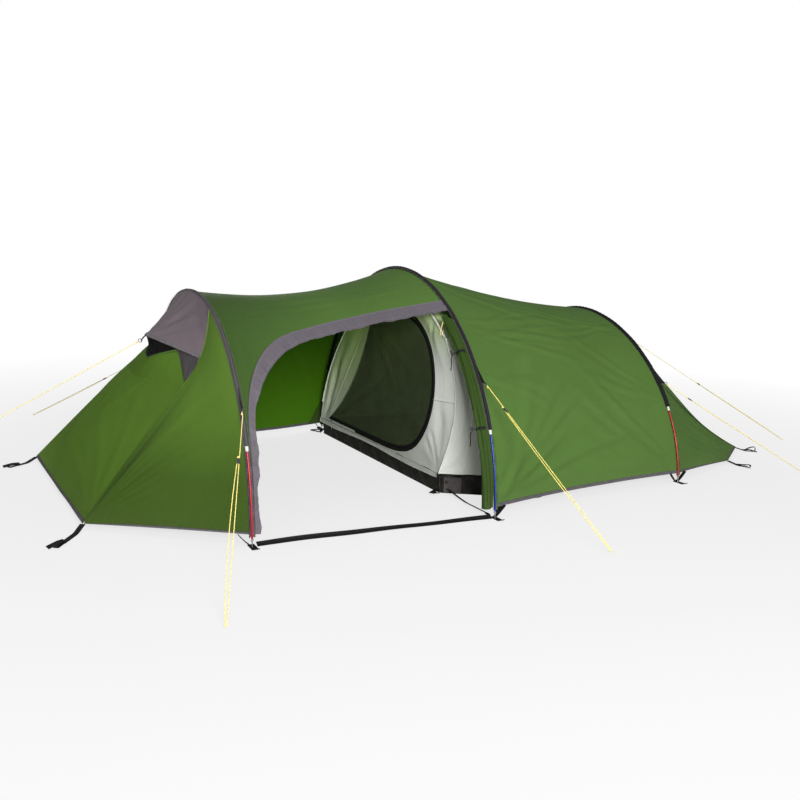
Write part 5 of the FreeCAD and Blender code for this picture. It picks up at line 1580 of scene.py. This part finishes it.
def front_wall():
    leaf = leaf_curve()
    hole = inset_loop(leaf, -0.004)
    first = float(share_above_tub(WALL_X))
    shares = np.linspace(INNER_ROOF, 1 - first, 400)
    arch = inner_point(WALL_X, shares)[:, 1:]
    outline = np.concatenate([dense([np.array([CORNER_Y, TUB_H]), arch[0]], 0.008), arch[1:],
                              dense([arch[-1], np.array([CORNER_Y, TUB_H])], 0.008)[1:]])
    # both closed lines are matched by their direction seen from the middle of the door
    angles = np.linspace(-math.pi, math.pi, 361)[:-1]

    def reach(loop):
        rel = loop - LEAF_MIDDLE
        a = np.unwrap(np.arctan2(rel[:, 1], rel[:, 0]))
        r = np.linalg.norm(rel, axis=1)
        if a[-1] < a[0]:
            a, r = a[::-1], r[::-1]
        keep = np.concatenate([[True], np.diff(a) > 1e-7])
        a, r = a[keep], r[keep]
        return np.interp((angles - a[0]) % (2 * math.pi), a - a[0], r)
    inner_r, outer_r = reach(hole), reach(outline)
    outer_r = np.maximum(outer_r, inner_r + 0.004)
    angle, inner_r, outer_r = [np.append(v, v[0]) for v in (angles, inner_r, outer_r)]
    w = np.linspace(0, 1, 26)
    r = rows_between(inner_r, outer_r, w)
    y, z = LEAF_MIDDLE[0] + r * np.cos(angle)[:, None], LEAF_MIDDLE[1] + r * np.sin(angle)[:, None]
    from_zip = (outer_r - inner_r)[:, None] * w
    hold = hump(w) ** 0.8 * clamp((from_zip - 0.012) / 0.05)
    x = WALL_X + wall_folds(y, z) * hold - 0.006 * hold * np.sin(3 * angle)[:, None]
    bow = CORNER_BOW * hump(clamp((z - TUB_H) / 0.74)) * clamp((-0.30 - y) / 0.25) * w ** 1.2
    grid = arr(x + 0.80 * bow, y - 0.60 * bow, z)
    sheet("inner_front_cloth", grid, INNER, "inner_front_wall", centre=(0.9, 0, 0.4), thick=0.0012)
    u, v = uv_grid(121, 7)
    far = float(inner_half(WALL_X)) - 0.004
    y = CORNER_Y + 0.004 + (far - CORNER_Y - 0.004) * u
    z = TUB_H + 0.004 - (0.026 + 0.006 * np.sin(9 * u)) * v
    x = WALL_X - 0.0090 - 0.001 * np.sin(40 * u) * v
    sheet("inner_front_skirt", arr(x, y, z), INNER, centre=(0.9, 0, 0.4), thick=0.0011)
    joined("inner_wall_piping", [tube_data(grid[0] - np.array([0.0012, 0, 0]), 0.0024, 8)], INNER_SEAM)
    # half of the zip stays on the wall: dark tape with teeth
    line = arr(np.full(len(hole), WALL_X - 0.0010), hole[:, 0], hole[:, 1])
    wide = inset_loop(leaf, -0.013)
    tape_grid = np.stack([line, arr(np.full(len(hole), WALL_X - 0.0014), wide[:, 0], wide[:, 1])], 1)
    free = slice(*ZIP_RUN)
    joined("inner_zip_wall_half", [sheet_data(tape_grid[free], 0.0016, centre=(0.9, 0, 0.4)),
                                   tube_data(line[free] + np.array([-0.0012, 0, 0]), 0.0014, 6)], BIND)


def loop_heights(loop, ys):
    """Lowest and highest z of a closed y, z loop at each y."""
    seg_a, seg_b = loop[:-1], loop[1:]
    bottoms, tops = [], []
    for y in ys:
        hit = (np.minimum(seg_a[:, 0], seg_b[:, 0]) <= y) & (np.maximum(seg_a[:, 0], seg_b[:, 0]) >= y)
        a, b = seg_a[hit], seg_b[hit]
        d = b[:, 0] - a[:, 0]
        k = np.where(np.abs(d) > 1e-12, (y - a[:, 0]) / np.where(np.abs(d) > 1e-12, d, 1), 0)
        zs = a[:, 1] + (b[:, 1] - a[:, 1]) * k
        bottoms.append(zs.min())
        tops.append(zs.max())
    return np.array(bottoms), np.array(tops)


def door_leaf():
    leaf = leaf_curve()
    outer, inner = inset_loop(leaf, 0.0005), inset_loop(leaf, BINDING)
    w = np.linspace(0, 1, 5)
    flat = rows_between(outer, inner, w)
    ripple_x = 0.0015 * np.sin(np.linspace(0, 90, len(flat)))[:, None] * hump(w)
    x = WALL_X - 0.0004 + ripple_x
    band = sheet_data(arr(x, flat[..., 0], flat[..., 1]), 0.0024, centre=(0.9, 0, 0.4))
    teeth_line = arr(np.full(len(outer), WALL_X - 0.0016), outer[:, 0], outer[:, 1])[slice(*ZIP_RUN)]
    joined("inner_door_edge", [band, tube_data(teeth_line, 0.0014, 6)], BIND, "inner_door_binding",
           body="inner_door")
    ring = inset_loop(leaf, BINDING - 0.004)
    low, high = ring[:, 0].min() + 1e-4, ring[:, 0].max() - 1e-4
    t = 0.5 - 0.5 * np.cos(np.linspace(0, math.pi, 91))
    ys = low + (high - low) * t
    v = np.linspace(0, 1, 61)
    z = rows_between(*loop_heights(ring, ys), v)
    y = np.repeat(ys[:, None], 61, axis=1)
    q = np.stack([y, z], -1)
    belly = 0.010 * hump(t)[:, None] * hump(v)
    folds = fans((((0.84, 0.15), (-0.30, 0.75), (0.10, 0.25), 6, 0.030, 0.004, 111),
                  ((0.20, 0.90), (-0.45, 0.60), (0.20, 0.30), 5, 0.026, 0.003, 112)))
    x = WALL_X + belly + fold_field(q, folds) * hump(v) * hump(t)[:, None]
    sheet("inner_door_netting", arr(x, y, z), NET, "inner_door_net", body="inner_door", centre=(0.9, 0, 0.4),
          thick=0.0005)
    # the cloth beside the hinge bows into the netting
    w, v = uv_grid(9, 61)
    v = 0.015 + 0.955 * v
    into = unit([-0.5, -0.38])
    line = lerp(HINGE_FOOT, HINGE_HEAD, v) + into * (w * 0.105 * hump(v) ** 0.9)[..., None]
    x = WALL_X - 0.0040 + 0.0015 * np.sin(9 * v) * w
    sheet("inner_door_hinge_cloth", arr(x, line[..., 0], line[..., 1]), INNER, body="inner_door",
          centre=(0.9, 0, 0.4), thick=0.0011)


def canopy_height(x, share):
    q = np.stack([x, share * 3.2], -1)
    u = x / REAR["x"]
    hold = clamp(np.minimum(u - WALL_X / REAR["x"], 1 - u) / 0.05)
    scallop = 0
    for hook in HOOKS:
        scallop = scallop + np.exp(-((share - hook) / 0.012) ** 2)
    edge = np.exp(-(u * 1.38) / 0.10) + np.exp(-((1 - u) * 1.38) / 0.10)
    edge *= clamp((share - 0.14) / 0.03) * clamp((0.86 - share) / 0.03) * clamp((u + 0.02) / 0.05)
    return ripple(q, 0.5, 0.008, 120) * hold + 0.006 * (scallop - 0.5) * edge


def canopy_strip(x0, low, high, nu, nv, name, cad):
    """Strip of the inner canopy from x0 to the rear hoop, between two shares of the hoop's length."""
    u, v = uv_grid(nu, nv)
    x = x0 + (CANOPY_END_X - x0) * u
    lo = low(x) if callable(low) else low + 0 * x
    hi = high(x) if callable(high) else high + 0 * x
    s = lo + (hi - lo) * v
    base = inner_point(x, s)
    n = grid_normals(base, (0.7, 0, 0.2))
    p = base + n * (canopy_height(x, s) * clamp(hump(v) * 6))[..., None]
    sheet(name, p, INNER, cad, centre=(0.7, 0, 0.2), thick=0.0011)


def foot_canopy(u, v):
    first = float(share_above_tub(REAR["x"]))
    rim = inner_point(np.full_like(v, REAR["x"]), first + (1 - 2 * first) * v)
    rim[..., 0] = CANOPY_END_X
    angle = math.pi * v
    round_y = np.sign(np.cos(angle)) * np.abs(np.cos(angle)) ** 0.45
    end = arr(FOOT_X - 0.004 + 0 * v, -FOOT_HALF * round_y,
              TUB_H + 0.002 + (FOOT_H - TUB_H) * clamp(np.sin(angle)) ** 0.8)
    flat = lerp(rim, end, u)
    return flat - arr(0, 0, 0.016 * sag_curve(u) * np.sin(angle))


def inner():
    seam = 0.0004
    canopy_strip(WALL_X + 0.001, INNER_ROOF + seam, 1 - INNER_ROOF - seam, 61, 111,
                 "inner_roof_cloth", "inner_roof")
    canopy_strip(WALL_X + 0.001, 1 - INNER_ROOF + seam, lambda x: 1 - share_above_tub(x), 61, 61,
                 "inner_far_cloth", "inner_far_wall")
    canopy_strip(DIAGONAL_END_X, share_above_tub, INNER_ROOF - seam, 51, 61,
                 "inner_near_cloth", "inner_near_wall")
    u, v = uv_grid(61, 71)
    x0, x1 = WALL_X + 0.001, DIAGONAL_END_X
    foot = np.array([x0, CORNER_Y, TUB_H])
    head = inner_point(x0, INNER_ROOF)
    front = lerp(foot, head, v)
    low = float(share_above_tub(DIAGONAL_END_X))
    back = inner_point(x1, low + (INNER_ROOF - low) * v)
    xs = x0 + (x1 - x0) * u
    roof_line = inner_point(xs, np.full_like(xs, INNER_ROOF))
    flat_line = head + (inner_point(x1, INNER_ROOF) - head) * u[..., None]
    p = lerp(front, back, u) + (roof_line - flat_line) * v[..., None]
    bow = CORNER_BOW * hump(clamp((p[..., 2] - TUB_H) / 0.74)) * (1 - u) ** 1.5
    p = p + arr(0.80 * bow, -0.60 * bow, 0)
    q = np.stack([u * 0.5, v * 0.8], -1)
    folds = fans((((0.01, 0.02), (0.10, 0.75), (0.42, 0.45), 6, 0.020, 0.0060, 131, 0.01),
                  ((0.02, 0.76), (0.05, 0.15), (0.40, 0.25), 5, 0.018, 0.0045, 132, 0.01),
                  ((0.48, 0.03), (0.10, 0.50), (0.35, 0.60), 4, 0.020, 0.0045, 133, 0.01)))
    hold = clamp(np.minimum(np.minimum(u, 1 - u), np.minimum(v, 1 - v)) / 0.06)
    n = grid_normals(p, (0.9, 0, 0.4))
    p = p + n * ((fold_field(q, folds) + ripple(q, 0.25, 0.005, 134)) * hold)[..., None]
    sheet("inner_corner_cloth", p, INNER, "inner_corner_wall", centre=(0.9, 0, 0.4), thick=0.0011)
    seams = [tube_data(p[0] + np.array([-0.0042, -0.0042, 0]), 0.0036, 8),
             tube_data(p[14] + n[14] * 0.0020, 0.0022, 8)]
    wall = inner_point(np.full(200, WALL_X - 0.002), np.linspace(INNER_ROOF, 0.93, 200))
    seams.append(ribbon_data(wall, (1, 0, 0), 0.012, 0.0014))
    joined("inner_seam_piping", seams, INNER_SEAM)
    u, v = uv_grid(61, 151)
    base = foot_canopy(u, v)
    q = np.stack([u * 0.7, v * 2.0], -1)
    n = grid_normals(base, (1.6, 0, 0.0))
    p = base + n * (ripple(q, 0.4, 0.008, 140) * hump(u) * hump(v))[..., None]
    sheet("inner_foot_cloth", p, INNER, "inner_foot_canopy", centre=(1.6, 0, 0.0), thick=0.0011)
    edge = foot_canopy(np.full(121, 1.0), np.linspace(0.003, 0.997, 121))
    w = np.linspace(0, 1, 10)
    bottom = arr(np.full(121, FOOT_X), edge[:, 1], np.full(121, TUB_H - 0.004))
    wall = rows_between(edge, bottom, w)
    wall[..., 0] = FOOT_X - 0.003 + 0.004 * hump(w) * np.sin(np.linspace(0, 25, 121))[:, None]
    sheet("inner_foot_panel", wall, INNER, "inner_foot_wall", centre=(1.0, 0, 0.1), thick=0.0011)


def hangers():
    cords = []
    for share in HOOKS:
        for hoop, way in ((CENTRE, 1), (REAR, -1)):
            if hoop is CENTRE and share < 0.2:
                continue
            x_end = hoop["x"] + way * 0.022
            outward = unit(hoop_point(hoop, share) - hoop_point(hoop, share, -INNER_GAP))
            inner_end = inner_point(x_end, share) + outward * 0.004
            outer = hoop_point(hoop, share, -0.020) + np.array([way * 0.022, 0, 0])
            d = unit(outer - inner_end)
            gap = np.linalg.norm(outer - inner_end)
            x = np.array([1.0, 0, 0])
            # elastic loop from the canopy to the hook, then the hook's shank and its open bow
            for off in (-1, 1):
                s = np.linspace(0, 1, 12)
                bow = inner_end + d * (gap * 0.5 * s)[:, None] + x * (off * 0.003 * hump(s))[:, None]
                cords.append(tube_data(bow, 0.0013, 6))
            shank = inner_end + d * np.linspace(gap * 0.5, gap * 0.82, 8)[:, None]
            cords.append(tube_data(shank, np.linspace(0.0034, 0.0022, 8), 8))
            bow = circle(inner_end + d * (gap * 0.88), d, x, 0.0062, -2.6, 1.9, 20)
            cords.append(tube_data(bow, 0.0018, 8))
            tab = inner_end - d * 0.002
            cords.append(ribbon_data(np.array([tab - d * 0.012, tab, tab + d * 0.004]), x, 0.012, 0.0016))
    joined("inner_hooks", cords, PLASTIC, "inner_hangers")
    tapes = []
    for hoop in (CENTRE, REAR):
        low = share_at_height(hoop, HEM_Z)
        for side in (-1, 1):
            if hoop is CENTRE and side < 0:
                continue
            shares = low + (0.5 - low) * np.linspace(0, 1, 90)
            line = hoop_point(hoop, shares if side < 0 else 1 - shares, -0.0155)
            tapes.append(ribbon_data(line, (1, 0, 0), 0.010, 0.0022))
    joined("hoop_inside_tapes", tapes, BIND)
    # corner reinforcement inside the porch at the far foot of the centre hoop, in the darker copy of the
    # fly's green, which is painted shade
    u, v = uv_grid(12, 12)
    low = 1 - share_at_height(CENTRE, HEM_Z)
    p = PORCH.point(1 - EDGE / PORCH_LENGTH - 0.095 * (1 - u), low - 0.055 * u * v, -0.004)
    sheet("porch_foot_patch", p, FLY_SHADED, centre=(-0.6, 0, 0.2), thick=0.0011)


# ---- build ---------------------------------------------------------------------------------------
body_sheet()
porch_sheet()
trim_band()
nose()
hood()
tail()
side_hems()
joined("fly_seams", SEAMS["sill"], FLY_SEAM)
joined("nose_seams", SEAMS["nose"], FLY_NOSE)
joined("tail_seams", SEAMS["tail"], FLY)
joined("hem_tape_strips", SIDE_HEMS + SEAMS["hems"], TRIM_TAPE, "hem_tapes")
sleeves()
webbing()
guys()
door_roll()
tub()
front_wall()
door_leaf()
inner()
hangers()


# ---- floor, light, camera ------------------------------------------------------------------------
def floor_material():
    """Pale floor that fades to the white of the backdrop far away."""
    s = material("studio_floor")
    place = s.place()
    tone = s.mix(s.noise(place, 3.0, 2.0), (0.50, 0.50, 0.50), (0.48, 0.48, 0.48))
    skin = s.skin(tone, 0.9, Specular_IOR_Level=0.1)
    white = s.node("Emission", Color=(1.0, 1.0, 1.0), Strength=1.0)
    away = s.node("VectorMath", {"operation": "LENGTH"}, Vector=place).outputs["Value"]
    seen = s.node("LightPath").outputs["Is Camera Ray"]
    return s.finish(s.mix_shaders(s.times(s.spread(away, 2.2, 6.0, 0.72, 1.0), seen), skin, white))


floor = new_object("studio_floor", [(-40, -40, 0), (40, -40, 0), (40, 40, 0), (-40, 40, 0)], [[0, 1, 2, 3]],
                   floor_material(), None, smooth=False)

world = bpy.data.worlds.new("studio")
bpy.context.scene.world = world
sky = Shader(world)
seen = sky.node("LightPath").outputs["Is Camera Ray"]
sky.finish(sky.node("Background", Color=(1.0, 1.0, 1.0), Strength=sky.spread(seen, 0.0, 1.0, 0.42, 1.0)),
           "OutputWorld")


def area_light(name, place, target, size, power):
    light = bpy.data.lights.new(name, "AREA")
    light.shape = "DISK"
    light.size = size
    light.energy = power
    obj = bpy.data.objects.new(name, light)
    bpy.context.scene.collection.objects.link(obj)
    obj.location = place
    obj.rotation_euler = (Vector(target) - Vector(place)).to_track_quat("-Z", "Y").to_euler()
    return obj


key = area_light("key", (-2.2, -7.8, 2.8), (0.2, 0, 0.4), 3.4, 980)
top = area_light("top", (-1.5, 1.0, 6.0), (0.2, 0, 0.4), 5.0, 60)
fill = area_light("fill", (1.0, 8.0, 1.7), (0.0, 0, 0.5), 3.0, 120)

inside = bpy.data.lights.new("inside", "POINT")
inside.energy = 5.0
inside.color = (0.80, 1.0, 0.45)
inside.shadow_soft_size = 0.25
inside_light = bpy.data.objects.new("inside", inside)
bpy.context.scene.collection.objects.link(inside_light)
inside_light.location = (0.45, 0.25, 0.60)

CAMERA_AT = (-2.24602, -4.21775, 1.24489)
YAW, PITCH, ROLL, FOCAL_PX = 0.497297, 0.174373, 0.0306381, 812.53
ahead = Vector((math.sin(YAW) * math.cos(PITCH), math.cos(YAW) * math.cos(PITCH), -math.sin(PITCH)))
right = Vector((math.cos(YAW), -math.sin(YAW), 0.0))
above = right.cross(ahead)
right, above = (right * math.cos(ROLL) + above * math.sin(ROLL),
                above * math.cos(ROLL) - right * math.sin(ROLL))
camera_data = bpy.data.cameras.new("camera")
camera_data.sensor_width = 36.0
camera_data.lens = 36.0 * FOCAL_PX / 800.0
camera_data.clip_end = 200.0
camera = bpy.data.objects.new("camera", camera_data)
bpy.context.scene.collection.objects.link(camera)
camera.matrix_world = Matrix((
    (right.x, above.x, -ahead.x, CAMERA_AT[0]),
    (right.y, above.y, -ahead.y, CAMERA_AT[1]),
    (right.z, above.z, -ahead.z, CAMERA_AT[2]),
    (0, 0, 0, 1)))
bpy.context.scene.camera = camera
bpy.context.scene.view_settings.view_transform = "Standard"

bpy.context.view_layer.update()
